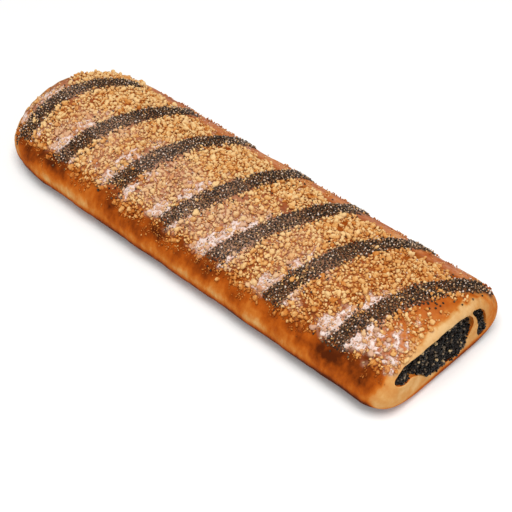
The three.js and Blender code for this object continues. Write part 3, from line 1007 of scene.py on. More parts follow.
def crumb_cover(points, in_band):
    """Share of the crust that crumbs cover at each place, given their share in a band."""
    x, y, z = points.T
    ragged = FIELD_RAGGED * lumps(points, 6, 74)
    far_limit = built_up(FIELD_FAR_Y, x=x)
    near_limit = built_up(FIELD_NEAR_Z, x=x, y=y)
    field = smooth(y + ragged, far_limit + FIELD_FADE, far_limit - FIELD_FADE)
    field *= smooth(z + FIELD_RAGGED_Z * ragged, near_limit, near_limit + FIELD_FADE_Z)
    field *= smooth(x, *FIELD_NEAR_END) * smooth(x, *FIELD_FAR_END)
    from_band = np.abs(band_offset(x, y)) + BAND_CLEAR_RAGGED * lumps(points, 3.5, 71)
    past_band = smooth(y, 0, 10) * (1 - band_length_share(points))
    places = {"x": x, "y": y, "toward_end": along_last_band(x, y), "glaze": glaze_share(points)}
    cover = FIELD_COVER
    for loss in LOSSES:
        cover = cover * (1 - built_up(loss, **places))
    return field * (in_band + (cover - in_band) * np.maximum(smooth(from_band, *BAND_CLEAR), past_band))


def shoulder_cover(points):
    """Share that dust covers on both shoulders, beside the field of crumbs."""
    x, y, z = points.T
    patchy = 0.35 + 0.65 * smooth(lumps(points, 9, 76), -0.4, 0.4)
    return built_up(SHOULDER_DUST, y=y, z=z, upper_z=z) * patchy * smooth(np.abs(x), *DUST_ENDS)


# %% Scatter the crumbs
CRUMB_KINDS = (  # name, most, largest, smallest radius, beads, subdivisions, sunk share, packing, in bands
    ("crumb_clumps", 560, 2.15, 1.5, 7, 3, 0.42, 0.8, 0.02),
    ("crumbs", 2450, 1.5, 0.95, 5, 2, 0.36, 0.66, 0.09),
    ("small_crumbs", 2300, 0.95, 0.6, 4, 2, 0.3, 0.6, 0.14),
    ("crumb_dust", 3600, 0.6, 0.32, 3, 1, 0.2, 0.6, 0.2),
    ("shoulder_dust", 2600, 0.95, 0.42, 3, 1, 0.3, 0.7, 0.0),
)
CRUMB_TRIES = 14  # places tried for each crumb
CRUMB_SHAPES = 8
CRUMB_PATCHES = ((0.55, 4.2, 77), (0.35, 2, 78))
SMALLER_OFTEN = 1.4  # above 1, more of the crumbs are near the smallest size
PILED = 1.8  # some lie on others, up to this many times their usual height
CRUMB_TONE = ((0.36, {}), (0.48, {"z": (28, 22)}), (0.16, {"x": (40, 110)}))
CRUMB_TONE_SPREAD = 0.17
# how much paler a crumb's top is and darker its underside: partly browning, partly painted shade
CRUMB_BROWNING_AND_SHADE = 0.38
CRUMB_MILKY = (0.15, 0.7)  # amounts of glaze between which crumbs turn milky
crumb_room = Clearings(cell=5)
crumb_pieces = []
for name, most, largest, smallest, beads, subdivisions, sunk, packing, in_band in CRUMB_KINDS:
    chance = chance_for(name)
    points, normals = crust_places(chance, most * CRUMB_TRIES)
    cover = shoulder_cover(points) if name == "shoulder_dust" else crumb_cover(points, in_band)
    patch = 0.5 + layered(points, CRUMB_PATCHES)
    stays = (patch < cover) & (chance.uniform(size=len(points)) < np.sqrt(cover))
    points, normals = points[stays], normals[stays]
    sizes = smallest + (largest - smallest) * chance.uniform(size=len(points)) ** SMALLER_OFTEN
    taken = take_clear(crumb_room, points, sizes, packing, most)
    points, normals, sizes = points[taken], normals[taken], sizes[taken]
    lift = sizes * (1 - 2 * sunk) * chance.uniform(0.0, PILED, len(sizes))
    shapes = [bead_cluster(chance, beads, subdivisions) for _ in range(CRUMB_SHAPES)]
    middles = points + normals * lift[:, None]
    piece, corners, owner = scatter(name, shapes, middles, sizes, chance)
    height = ((corners - middles[owner]) * normals[owner]).sum(axis=1) / sizes[owner]
    tone = built_up(CRUMB_TONE, x=points[:, 0], z=points[:, 2])
    tone += CRUMB_TONE_SPREAD * chance.normal(size=len(sizes))
    # painted shade: each crumb is paler on top and darker toward its underside, over some real browning
    keep_on_points(piece, "bake_and_shade", tone[owner] - CRUMB_BROWNING_AND_SHADE * height)
    milky = smooth(glaze_share(points), *CRUMB_MILKY) * chance.uniform(0.1, 1.1, len(sizes))
    keep_on_points(piece, "glaze", milky[owner])
    crumb_pieces.append(piece)

# %% [markdown]
# ## Poppy seeds
# A poppy seed is nearly black, 1.0 to 1.2 mm long and shaped like a kidney. They are drawn larger
# than that, about 1.4 mm long and 1.2 mm wide, so that single ones show. In a band they lie
# more than one deep, edge on and flat in every direction, and single ones stray beside it.
# Twenty triangles are enough for a seed, as one shows only two or three pixels wide.

# %% Where seeds lie
BAND_TAPER = ((1, {}), (0.4, {"y": (14, 42)}), (-0.14, {"y": (0, -30)}))
BAND_RAGGED = ((0.3, 3, 72), (0.35, 1.5, 75))
BAND_EDGE = (1.2, 0.8)  # half bands from the middle between which the seeds thin out
STRAYS = ((0.02, {"from_band": (2.6, 1.1), "y": (34, 28), "z": (20, 24)}),)


def seed_cover(points):
    """Share of the crust that seeds cover: all of a band, and nothing past its ragged edge."""
    x, y = points.T[:2]
    edge = np.abs(band_offset(x, y)) * built_up(BAND_TAPER, y=y) + layered(points, BAND_RAGGED)
    return band_length_share(points) * smooth(edge, *BAND_EDGE)


# %% Scatter the seeds of the bands
SEED_RADIUS = 0.6
SEED_SPREAD = (0.88, 1.12)
SEED_PACKING = 0.88  # below 1, neighbours may touch and lie over each other's edge
SEED_LIFT = 0.1
SEED_PILE = 0.7  # how much higher the seeds in the middle of a band may lie
BAND_SEEDS = 7400
SEED_TRIES = 160000
STRAY_SEEDS = 420
STRAY_LIFT = 0.35
seed_chance = chance_for("poppy_seeds")
points, normals = crust_places(seed_chance, SEED_TRIES)
in_band = seed_chance.uniform(size=len(points)) < seed_cover(points)
band_points, band_normals = points[in_band], normals[in_band]
pile = smooth(np.abs(band_offset(*band_points.T[:2])), 1.1, 0.5)
lift = SEED_LIFT + seed_chance.uniform(0.0, SEED_PILE, len(band_points)) * pile
band_points = band_points + band_normals * lift[:, None]
sizes = SEED_RADIUS * seed_chance.uniform(*SEED_SPREAD, len(band_points))
taken = take_clear(Clearings(cell=1.5), band_points, sizes, SEED_PACKING, BAND_SEEDS)
seed_places, seed_sizes = band_points[taken], sizes[taken]

stray_points, stray_normals = points[~in_band], normals[~in_band]
x, y, z = stray_points.T
stray_share = built_up(STRAYS, from_band=np.abs(band_offset(x, y)), y=y, z=z)
stray = np.flatnonzero(seed_chance.uniform(size=len(stray_points)) < stray_share)[:STRAY_SEEDS]
seed_places = np.vstack([seed_places, stray_points[stray] + STRAY_LIFT * stray_normals[stray]])
seed_sizes = np.concatenate([seed_sizes, SEED_RADIUS * seed_chance.uniform(0.9, 1.1, len(stray))])
seed_shapes = [kidney(subdivisions=1)]
band_seeds, corners, owner = scatter("poppy_seeds", seed_shapes, seed_places, seed_sizes, seed_chance)
keep_on_points(band_seeds, "shade", seed_chance.uniform(size=len(seed_sizes))[owner])
iced = glaze_share(seed_places) * seed_chance.uniform(size=len(seed_sizes))
keep_on_points(band_seeds, "glaze", iced[owner])

# %% [markdown]
# ## Seeds and bits in the open filling
# At the open ends the paste shows single seeds, standing out at all angles, and some
# spill over the lip of the dough. They are drawn a tenth larger still than those of the bands, and
# lie closer together. The pale bits look like chopped nut, about 2 mm across and knobbly.

# %% Seeds on the filling's faces
FACE_SEED_RADIUS = 0.66
FACE_SEED_SPREAD = (0.85, 1.2)
FACE_SEED_OUT = (-0.45, 0.5)  # how far their middles stand out of the paste
FACE_SEED_PACKING = 0.78
FACE_SEED_TRIES = 9000
SPILL = 0.8  # how far seeds reach over the opening's edge
LEAST_STRIP = 0.5  # width under which a strip counts as this wide


def strip_places(grid, chance, count):
    """Random (y, z) places, even over a strip that is a little wider than the grid."""
    share = chance.uniform(size=count)
    start = share * (grid.shape[0] - 1)
    column = np.minimum(start.astype(int), grid.shape[0] - 2)
    part = (start - column)[:, None]
    lower = grid[column, 0] * (1 - part) + grid[column + 1, 0] * part
    upper = grid[column, -1] * (1 - part) + grid[column + 1, -1] * part
    height = np.linalg.norm(upper - lower, axis=1)
    kept = chance.uniform(size=count) < (height + 2 * SPILL) / (height.max() + 2 * SPILL)
    over = (SPILL / np.maximum(height, LEAST_STRIP))[:, None]
    across = chance.uniform(size=(count, 1)) * (1 + 2 * over) - over
    return (lower + (upper - lower) * across)[kept]


face_chance = chance_for("filling_seeds")
face_seeds = []
for sign, grid in itertools.product((-1, 1), (core_grid, turn_grid)):
    flat = strip_places(grid, face_chance, FACE_SEED_TRIES) * filling_scale(sign * HALF_LENGTH)
    out = face_chance.uniform(*FACE_SEED_OUT, len(flat))
    face_seeds.append(np.column_stack([paste_reach(sign, flat) + sign * out, flat]))
face_seeds = np.vstack(face_seeds)
sizes = FACE_SEED_RADIUS * face_chance.uniform(*FACE_SEED_SPREAD, len(face_seeds))
taken = take_clear(Clearings(cell=1.5), face_seeds, sizes, FACE_SEED_PACKING, len(face_seeds))
face_seeds, sizes = face_seeds[taken], sizes[taken]
filling_seeds, corners, owner = scatter("filling_seeds", seed_shapes, face_seeds, sizes, face_chance)
keep_on_points(filling_seeds, "shade", face_chance.uniform(size=len(sizes))[owner])
keep_on_points(filling_seeds, "glaze", 0 * corners[:, 0])

# %% Bits of nut in the filling
NUT_PLACES = (  # (y, z, radius) on the near face; the far face has the same ones, drawn in
    (3.0, 25.6, 1.2),
    (-6.7, 22.9, 1.3),
    (-17.6, 25.2, 1.3),
    (-20.5, 21.5, 1.0),
    (-8.2, 14.9, 1.1),
    (2.4, 12.8, 0.9),
    (-3.9, 11.2, 0.9),
    (10.4, 13.2, 0.7),
)
NUT_OUT = 0.5
nut_chance = chance_for("nut_bits")
nut_places, nut_sizes = [], []
for sign in (-1, 1):
    flat = np.array([place[:2] for place in NUT_PLACES]) * filling_scale(sign * HALF_LENGTH)
    nut_places.append(np.column_stack([paste_reach(sign, flat) + sign * NUT_OUT, flat]))
    nut_sizes.append([place[2] for place in NUT_PLACES])
shapes = [bead_cluster(nut_chance, beads=5, subdivisions=3) for _ in range(6)]
nut_bits, _, _ = scatter("nut_bits", shapes, np.vstack(nut_places), np.concatenate(nut_sizes), nut_chance)

# %% [markdown]
# ## Pale specks between the seeds
# Drops of icing and crumbs of sugar dried between the seeds, so a band is never plain black, and
# in the pools of glaze. They are small bodies too, some of them partly sunk.

# %% Specks of icing
SPECKS = 4800
SPECK_TRIES = 80000
SPECK_RADII = (0.36, 0.95)
SPECK_LIFT = (0.35, 0.95)
SPECK_PACKING = 1.1
SPECKS_IN_POOLS = ((0.8, {"glaze": (0.35, 0.8)}),)
SPECKS_IN_BANDS = ((0.44, {}), (0.2, {"x": (120, 90), "y": (14, -26)}))
speck_chance = chance_for("icing_specks")
points, normals = crust_places(speck_chance, SPECK_TRIES)
x, y, z = points.T
pooled = built_up(SPECKS_IN_POOLS, glaze=glaze_share(points))
between_seeds = seed_cover(points) * built_up(SPECKS_IN_BANDS, x=x, y=y)
stays = speck_chance.uniform(size=len(points)) < np.maximum(pooled, between_seeds)
points = points[stays] + normals[stays] * speck_chance.uniform(*SPECK_LIFT, stays.sum())[:, None]
sizes = speck_chance.uniform(*SPECK_RADII, len(points))
taken = take_clear(Clearings(cell=2), points, sizes, SPECK_PACKING, SPECKS)
shapes = [bead_cluster(speck_chance, beads=3, subdivisions=1) for _ in range(4)]
specks, corners, owner = scatter("icing_specks", shapes, points[taken], sizes[taken], speck_chance)
keep_on_points(specks, "shade", speck_chance.uniform(size=len(taken))[owner])

# %% [markdown]
# ## Sugar glaze
# The glaze is a thin skin of dried icing that fills the low places between crumbs. A flat
# white colour on the crust would look painted on, so the thick pools get a body: a closed
# skin whose top rises with the amount of glaze and dips under the crust where it runs out.
# Its edge then follows the crust's own relief, as a real puddle does.

# %% Pools of glaze
GLAZE_SPACING = 0.55
GLAZE_START = 0.5  # amount of glaze at which a pool's top meets the crust
GLAZE_RISE = 1.2  # millimetres for each unit above that
GLAZE_MARGIN = 0.12  # the skin goes on to this much less glaze, where it is under the crust
GLAZE_UNDER = 0.4  # how deep its underside lies
RIPPLES = ((0.4, 2.6, 81), (0.2, 1.3, 82))

pool_x = np.arange(-HALF_LENGTH + 5, HALF_LENGTH - 4, GLAZE_SPACING)
pool_angles = np.interp(np.arange(0, top_travel[-1], GLAZE_SPACING), top_travel, top_angles)
grid_x, grid_angle = np.meshgrid(pool_x, pool_angles, indexing="ij")
plain = plain_crust(grid_x.ravel(), grid_angle.ravel())
normals = crust_normal(grid_x.ravel(), grid_angle.ravel())
skin = plain + normals * relief(plain)[:, None]
amount = glaze_share(skin)
height = GLAZE_RISE * (amount - GLAZE_START) + layered(skin, RIPPLES) * smooth(amount, 0.4, 0.7)
upper = skin + normals * height[:, None]
under = skin - normals * GLAZE_UNDER

# %% One closed skin from the wet squares
quads = grid_faces(np.arange(len(skin)).reshape(grid_x.shape))
wet = (amount[quads] > GLAZE_START - GLAZE_MARGIN).all(axis=1)
quads = quads[wet]
edges = {}  # a dict keeps its order, so the mesh is the same each time
for a, b, c, d in quads.tolist():
    for start, end in ((a, b), (b, c), (c, d), (d, a)):
        edges[(start, end)] = True
rim = np.array([edge for edge in edges if edge[::-1] not in edges])
walls = np.column_stack([rim[:, 1], rim[:, 0], rim[:, 0] + len(skin), rim[:, 1] + len(skin)])
used = np.unique(np.concatenate([quads.ravel(), quads.ravel() + len(skin)]))
place_of = np.full(2 * len(skin), -1)
place_of[used] = np.arange(len(used))
glaze_faces = [place_of[quads], place_of[quads + len(skin)][:, ::-1], place_of[walls]]
glaze = make_mesh("sugar_glaze", np.vstack([upper, under])[used], glaze_faces)
keep_on_points(glaze, "glaze", np.concatenate([amount, amount])[used])
pool_area = round(wet.sum() * GLAZE_SPACING**2)
print("glaze has", len(glaze.data.polygons), "faces and covers", pool_area, "square mm")

# %% [markdown]
# ## Finishes
# Each material is named for the real finish. Colours are written as sRGB hex values, as a colour
# picker shows them, and one function turns them to the linear values that Blender computes with.
# One more function adds a node with its settings and links. Patterns are noise in object
# space, and their scale is worked out from the size of one lump in millimetres.

# %% Tools for materials
MIX_A, MIX_B, MIX_RESULT = 6, 7, 2  # sockets of a Mix node that mixes colours


def linear(sheet_colour):
    """sRGB hex such as "#c0772f" to linear red, green, blue and alpha."""
    parts = [int(sheet_colour[i : i + 2], 16) / 255 for i in (1, 3, 5)]
    return [p / 12.92 if p <= 0.04045 else ((p + 0.055) / 1.055) ** 2.4 for p in parts] + [1.0]


def per_metre(width):
    """Noise scale whose lumps are about `width` millimetres wide."""
    return 1 / (width * MM)


def add_node(tree, kind, settings, links):
    """Adds a node, sets its properties, sockets or ramp stops, and links its inputs."""
    node = tree.nodes.new("ShaderNode" + kind)
    for name, value in settings.items():
        if name == "stops":
            for number, (place, colour) in enumerate(value):
                ramp = node.color_ramp.elements
                stop = ramp[number] if number < 2 else ramp.new(place)
                stop.position = place
                stop.color = linear(colour)
        elif isinstance(name, int) or name in node.inputs:
            node.inputs[name].default_value = value
        else:
            setattr(node, name, value)
    for name, source in links.items():
        tree.links.new(source, node.inputs[name])
    return node


def new_finish(name):
    """An empty material with a place for its surface."""
    material = bpy.data.materials.new(name)
    material.use_nodes = True
    material.node_tree.nodes.clear()
    return material, material.node_tree


def finish_with(tree, surface):
    add_node(tree, "OutputMaterial", {}, {"Surface": surface.outputs["BSDF"]})


def dress(piece, material):
    piece.data.materials.clear()
    piece.data.materials.append(material)
    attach(piece, "root")
    print(piece.name, "is dressed in", material.name)


# %% [markdown]
# ## Egg-washed crust
# Yeast dough brushed with beaten egg bakes to a satin skin: pale straw on the open end, orange-brown
# on the walls and the top, and dark along the foot, where the line is partly browning and partly
# painted shade. The eye sees slow shifts of colour, a fine mottling where the wash was thin, and on
# the walls upright streaks where it ran.
# The same material shows what lies on the skin: a darker tone under the crumbs, which is painted
# shade in the gaps between them, the pressed bed of the bands and the film of glaze. Bread has an
# IOR near 1.45. Its plain highlight is off, as so broad a light would grey the brown with it, and
# only the egg's faint coat shines.

# %% Crust material
STREAK_STRETCH = 0.25  # the wash ran down the walls, so its streaks are four times as tall as wide
egg_crust, tree = new_finish("egg_washed_crust")
place = add_node(tree, "TexCoord", {}, {}).outputs["Object"]
baked_and_shaded = add_node(tree, "Attribute", {"attribute_name": "bake_and_shade"}, {}).outputs["Fac"]
mottle = add_node(
    tree,
    "TexNoise",
    {"Scale": per_metre(5), "Detail": 4.0, "Roughness": 0.6},
    {"Vector": place},
)
shift = add_node(
    tree,
    "MapRange",
    {"From Min": 0.3, "From Max": 0.7, "To Min": -0.09, "To Max": 0.09},
    {"Value": mottle.outputs["Fac"]},
)
mottled = add_node(tree, "Math", {"operation": "ADD"}, {0: baked_and_shaded, 1: shift.outputs["Result"]})
upright = add_node(tree, "Mapping", {"Scale": (1.0, 1.0, STREAK_STRETCH)}, {"Vector": place})
streaks = add_node(
    tree,
    "TexNoise",
    {"Scale": per_metre(2.2), "Detail": 3.0},
    {"Vector": upright.outputs["Vector"]},
)
streak_shift = add_node(
    tree,
    "MapRange",
    {"From Min": 0.3, "From Max": 0.7, "To Min": -0.07, "To Max": 0.07},
    {"Value": streaks.outputs["Fac"]},
)
on_wall = add_node(tree, "Attribute", {"attribute_name": "wall"}, {}).outputs["Fac"]
wall_streaks = add_node(
    tree,
    "Math",
    {"operation": "MULTIPLY"},
    {0: on_wall, 1: streak_shift.outputs["Result"]},
)
tone = add_node(tree, "Math", {"operation": "ADD"}, {0: mottled.outputs[0], 1: wall_streaks.outputs[0]})
CRUST_STOPS = (
    (0.0, "#E8BE84"),
    (1.0, "#54220A"),
    (0.2, "#D49A58"),
    (0.42, "#C67028"),
    (0.62, "#B05414"),
    (0.8, "#8F3F0E"),
)
crust_colour = add_node(tree, "ValToRGB", {"stops": CRUST_STOPS}, {"Fac": tone.outputs[0]})
# painted shade in the gaps between crumbs: the crust is mixed toward dark brown where crumbs lie
crumb_gap_shade = add_node(tree, "Attribute", {"attribute_name": "crumb_gap_shade"}, {}).outputs["Fac"]
crumb_gap_shade_share = add_node(tree, "Math", {"operation": "MULTIPLY", 1: 0.6}, {0: crumb_gap_shade})
crumb_gap_shade_colour = add_node(
    tree,
    "Mix",
    {"data_type": "RGBA", MIX_B: linear("#7E3A10")},
    {0: crumb_gap_shade_share.outputs[0], MIX_A: crust_colour.outputs["Color"]},
)
seeded = add_node(tree, "Attribute", {"attribute_name": "poppy"}, {}).outputs["Fac"]
with_bed = add_node(
    tree,
    "Mix",
    {"data_type": "RGBA", MIX_B: linear("#74492E")},
    {0: seeded, MIX_A: crumb_gap_shade_colour.outputs[MIX_RESULT]},
)
iced = add_node(tree, "Attribute", {"attribute_name": "glaze"}, {}).outputs["Fac"]
streak = add_node(tree, "TexNoise", {"Scale": per_metre(2.2), "Detail": 3.0}, {"Vector": place})
broken = add_node(
    tree,
    "MapRange",
    {"From Min": 0.35, "From Max": 0.6, "To Min": 0.35, "To Max": 1.0},
    {"Value": streak.outputs["Fac"]},
)
film = add_node(tree, "Math", {"operation": "MULTIPLY"}, {0: iced, 1: broken.outputs["Result"]})
glazed = add_node(
    tree,
    "Mix",
    {"data_type": "RGBA", MIX_B: linear("#D9AE92")},
    {0: film.outputs[0], MIX_A: with_bed.outputs[MIX_RESULT]},
)
sheen_map = add_node(
    tree,
    "MapRange",
    {"From Min": 0.1, "From Max": 0.8, "To Min": 0.55, "To Max": 0.36},
    {"Value": tone.outputs[0]},
)
pores = add_node(
    tree,
    "TexNoise",
    {"Scale": per_metre(0.9), "Detail": 3.0, "Roughness": 0.6},
    {"Vector": place},
)
skin_bump = add_node(
    tree,
    "Bump",
    {"Strength": 0.5, "Distance": 0.25 * MM},
    {"Height": pores.outputs["Fac"]},
)
surface = add_node(
    tree,
    "BsdfPrincipled",
    {"IOR": 1.45, "Specular IOR Level": 0.0, "Coat Weight": 0.05, "Coat Roughness": 0.15},
    {
        "Base Color": glazed.outputs[MIX_RESULT],
        "Roughness": sheen_map.outputs["Result"],
        "Normal": skin_bump.outputs["Normal"],
    },
)
finish_with(tree, surface)
dress(crust, egg_crust)

# %% [markdown]
# ## Butter crumbs
# Flour, sugar and butter rubbed together bake dry and matt: golden on top, browner below where they
# touch the crust, and the darker undersides are partly painted shade. Icing makes some of them milky.
# The real grain is that of sugar, too fine to show from here, so it is drawn 0.7 mm wide, in the
# colour and as a bump.

# %% Crumb material
butter_crumb, tree = new_finish("butter_crumb")
place = add_node(tree, "TexCoord", {}, {}).outputs["Object"]
baked_and_shaded = add_node(tree, "Attribute", {"attribute_name": "bake_and_shade"}, {}).outputs["Fac"]
grain = add_node(tree, "TexNoise", {"Scale": per_metre(0.7), "Detail": 2.0}, {"Vector": place})
shift = add_node(
    tree,
    "MapRange",
    {"From Min": 0.3, "From Max": 0.7, "To Min": -0.12, "To Max": 0.12},
    {"Value": grain.outputs["Fac"]},
)
tone = add_node(tree, "Math", {"operation": "ADD"}, {0: baked_and_shaded, 1: shift.outputs["Result"]})
CRUMB_STOPS = ((0.0, "#EAC48A"), (1.0, "#94440F"), (0.3, "#D89F5C"), (0.6, "#C67932"))
crumb_colour = add_node(tree, "ValToRGB", {"stops": CRUMB_STOPS}, {"Fac": tone.outputs[0]})
iced = add_node(tree, "Attribute", {"attribute_name": "glaze"}, {}).outputs["Fac"]
milky = add_node(
    tree,
    "Mix",
    {"data_type": "RGBA", MIX_B: linear("#D2A68A")},
    {0: iced, MIX_A: crumb_colour.outputs["Color"]},
)
grain_bump = add_node(
    tree,
    "Bump",
    {"Strength": 0.45, "Distance": 0.15 * MM},
    {"Height": grain.outputs["Fac"]},
)
surface = add_node(
    tree,
    "BsdfPrincipled",
    {"IOR": 1.45, "Specular IOR Level": 0.1, "Roughness": 0.6},
    {"Base Color": milky.outputs[MIX_RESULT], "Normal": grain_bump.outputs["Normal"]},
)
finish_with(tree, surface)
for piece in crumb_pieces:
    dress(piece, butter_crumb)

# %% [markdown]
# ## Poppy seeds
# The hull of a poppy seed is hard, with a net of fine ridges. They are drawn 0.3 mm apart, which is
# coarser than the real net but still finer than a picture from here shows. Baked in the open,
# the seeds of the bands are dry and rather matt, and run from almost black to a dull tan. In
# the filling they are moist, with sharper highlights. Most are black there, and some paler.

# %% Seed materials
seed_finishes = {}
for name, dark, middle, light, roughness, shine in (
    ("dry_poppy_seed", "#140C08", "#42301F", "#75593A", 0.55, 0.3),
    ("moist_poppy_seed", "#040302", "#120D09", "#8E7A62", 0.25, 0.25),
):
    seed_finishes[name], tree = new_finish(name)
    place = add_node(tree, "TexCoord", {}, {}).outputs["Object"]
    shade = add_node(tree, "Attribute", {"attribute_name": "shade"}, {}).outputs["Fac"]
    hull_stops = ((0.0, dark), (1.0, light), (0.75, middle))
    hull = add_node(tree, "ValToRGB", {"stops": hull_stops}, {"Fac": shade})
    iced = add_node(tree, "Attribute", {"attribute_name": "glaze"}, {}).outputs["Fac"]
    thin_ice = add_node(tree, "Math", {"operation": "MULTIPLY", 1: 0.3}, {0: iced})
    dusted = add_node(
        tree,
        "Mix",
        {"data_type": "RGBA", MIX_B: linear("#CDB8AE")},
        {0: thin_ice.outputs[0], MIX_A: hull.outputs["Color"]},
    )
    ridges = add_node(tree, "TexVoronoi", {"Scale": per_metre(0.3)}, {"Vector": place})
    hull_bump = add_node(
        tree,
        "Bump",
        {"Strength": 0.4, "Distance": 0.05 * MM},
        {"Height": ridges.outputs["Distance"]},
    )
    surface = add_node(
        tree,
        "BsdfPrincipled",
        {"IOR": 1.48, "Specular IOR Level": shine, "Roughness": roughness},
        {"Base Color": dusted.outputs[MIX_RESULT], "Normal": hull_bump.outputs["Normal"]},
    )
    finish_with(tree, surface)
dress(band_seeds, seed_finishes["dry_poppy_seed"])
dress(filling_seeds, seed_finishes["moist_poppy_seed"])

# %% [markdown]
# ## Dried sugar glaze
# Icing thinned with water dries to a milky skin. Where it is thin the orange crust shines through
# it, and where it pooled it is a pinkish white. Its surface is smooth, with a wet-looking shine.
# The specks are duller, and run from browned sugar to the white of the icing.

# %% Glaze materials
dried_icing, tree = new_finish("dried_sugar_glaze")
place = add_node(tree, "TexCoord", {}, {}).outputs["Object"]
amount_here = add_node(tree, "Attribute", {"attribute_name": "glaze"}, {}).outputs["Fac"]
cloud = add_node(tree, "TexNoise", {"Scale": per_metre(1.8), "Detail": 3.0}, {"Vector": place})
shift = add_node(
    tree,
    "MapRange",
    {"From Min": 0.3, "From Max": 0.7, "To Min": -0.3, "To Max": 0.3},
    {"Value": cloud.outputs["Fac"]},
)
depth = add_node(tree, "Math", {"operation": "ADD"}, {0: amount_here, 1: shift.outputs["Result"]})
GLAZE_STOPS = ((0.3, "#B87A55"), (1.0, "#E5D0C7"), (0.7, "#C8977F"))
milk = add_node(tree, "ValToRGB", {"stops": GLAZE_STOPS}, {"Fac": depth.outputs[0]})
ripples = add_node(tree, "Bump", {"Strength": 0.35, "Distance": 0.3 * MM}, {"Height": cloud.outputs["Fac"]})
surface = add_node(
    tree,
    "BsdfPrincipled",
    {"IOR": 1.47, "Roughness": 0.34},
    {"Base Color": milk.outputs["Color"], "Normal": ripples.outputs["Normal"]},
)
finish_with(tree, surface)
dress(glaze, dried_icing)

icing_speck, tree = new_finish("icing_speck")
shade = add_node(tree, "Attribute", {"attribute_name": "shade"}, {}).outputs["Fac"]
SPECK_STOPS = ((0.0, "#9A6A3A"), (1.0, "#E6D2C2"), (0.5, "#CBA681"))
pale = add_node(tree, "ValToRGB", {"stops": SPECK_STOPS}, {"Fac": shade})
surface = add_node(
    tree,
    "BsdfPrincipled",
    {"IOR": 1.47, "Roughness": 0.5},
    {"Base Color": pale.outputs["Color"]},
)
finish_with(tree, surface)
dress(specks, icing_speck)

# %% [markdown]
# ## Filling and nut
# Cooked poppy paste is dark brown-black, moist and grainy. The nut bits are matt and pale, stained
# by the paste in patches.

# %% Paste and nut materials
poppy_paste, tree = new_finish("cooked_poppy_paste")
place = add_node(tree, "TexCoord", {}, {}).outputs["Object"]
mash = add_node(
    tree,
    "TexNoise",
    {"Scale": per_metre(1.1), "Detail": 4.0, "Roughness": 0.65},
    {"Vector": place},
)
PASTE_STOPS = ((0.3, "#0D0908"), (0.75, "#33261F"))
paste_colour = add_node(tree, "ValToRGB", {"stops": PASTE_STOPS}, {"Fac": mash.outputs["Fac"]})
mash_bump = add_node(tree, "Bump", {"Strength": 0.8, "Distance": 0.4 * MM}, {"Height": mash.outputs["Fac"]})
surface = add_node(
    tree,
    "BsdfPrincipled",
    {"IOR": 1.45, "Specular IOR Level": 0.2, "Roughness": 0.35},
    {"Base Color": paste_colour.outputs["Color"], "Normal": mash_bump.outputs["Normal"]},
)
finish_with(tree, surface)
for paste in (core_paste, turn_paste):
    dress(paste, poppy_paste)

chopped_nut, tree = new_finish("chopped_nut")
place = add_node(tree, "TexCoord", {}, {}).outputs["Object"]
fibre = add_node(tree, "TexNoise", {"Scale": per_metre(1.0), "Detail": 3.0}, {"Vector": place})
NUT_STOPS = ((0.3, "#8C6A3E"), (0.65, "#D9BE8C"))
nut_colour = add_node(tree, "ValToRGB", {"stops": NUT_STOPS}, {"Fac": fibre.outputs["Fac"]})
surface = add_node(
    tree,
    "BsdfPrincipled",
    {"IOR": 1.45, "Roughness": 0.5},
    {"Base Color": nut_colour.outputs["Color"]},
)
finish_with(tree, surface)
dress(nut_bits, chopped_nut)

# %% [markdown]
# ## Floor, light and camera
# The roll lies on plain white paper. The main light is a broad panel, high up on the camera's
# side, so only a thin dark line lies along the roll's foot and fades to white. A weak
# panel faces the open end, and an even sky fills the rest. The paper glows a little, as white
# paper does in a picture that is slightly overexposed.

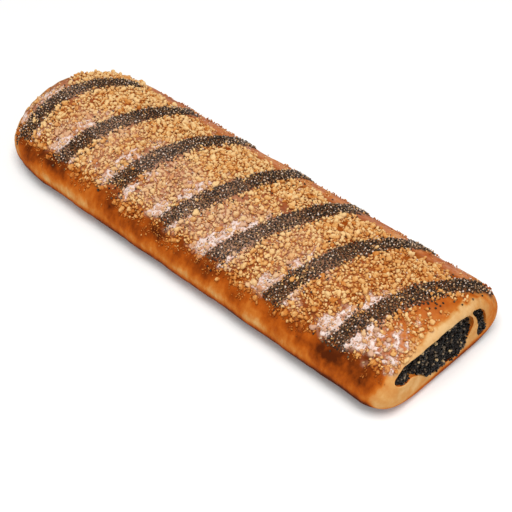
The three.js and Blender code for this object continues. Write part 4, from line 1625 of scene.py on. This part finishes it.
# %% White paper floor
FLOOR_SIZE = 3000
PAPER_GLOW = 0.12
half = FLOOR_SIZE / 2
floor = make_mesh(
    "paper_floor", [(-half, -half, 0), (half, -half, 0), (half, half, 0), (-half, half, 0)], [[(0, 1, 2, 3)]]
)
white_paper, tree = new_finish("white_paper")
surface = add_node(
    tree,
    "BsdfPrincipled",
    {
        "Base Color": linear("#EDEDEB"),
        "Roughness": 0.8,
        "IOR": 1.45,
        "Emission Color": linear("#FFFFFF"),
        "Emission Strength": PAPER_GLOW,
    },
    {},
)
finish_with(tree, surface)
floor.data.materials.append(white_paper)
print("the paper is", FLOOR_SIZE / 1000, "m wide")

# %% Lights
LIGHTS = (  # name, place and aim in mm, side in mm, watts
    ("key", (300, -310, 1600), (0, 0, 10), 1150, 24.3),
    ("end_fill", (700, -60, 330), (100, 0, 15), 500, 0.45),
)
for name, place, aim, side, watts in LIGHTS:
    lamp = bpy.data.lights.new(name, "AREA")
    lamp.size = side * MM
    lamp.energy = watts
    light = bpy.data.objects.new(name, lamp)
    light.location = Vector(place) * MM
    light.rotation_euler = (Vector(aim) - Vector(place)).to_track_quat("-Z", "Y").to_euler()
    bpy.context.scene.collection.objects.link(light)
SKY_STRENGTH = 0.4
sky = bpy.data.worlds.new("studio_sky")
sky.use_nodes = True
sky.node_tree.nodes["Background"].inputs["Color"].default_value = (1, 1, 1, 1)
sky.node_tree.nodes["Background"].inputs["Strength"].default_value = SKY_STRENGTH
bpy.context.scene.world = sky
bpy.context.scene.view_settings.view_transform = "Standard"
print(len(LIGHTS), "panels and a sky of strength", SKY_STRENGTH)

# %% Camera
CAMERA_PLACE = (376.8, -370.4, 462.4)
CAMERA_TILT = 47.906  # degrees from looking straight down
CAMERA_TURN = 44.21
PICTURE_SIDE = 512
FOCAL_PIXELS = 1289.7
lens = bpy.data.cameras.new("studio_lens")
lens.sensor_width = 36
lens.lens = FOCAL_PIXELS * lens.sensor_width / PICTURE_SIDE
camera = bpy.data.objects.new("studio_camera", lens)
camera.location = Vector(CAMERA_PLACE) * MM
camera.rotation_euler = (math.radians(CAMERA_TILT), 0, math.radians(CAMERA_TURN))
bpy.context.scene.collection.objects.link(camera)
bpy.context.scene.camera = camera
print(f"camera with a {lens.lens:.1f} mm lens")
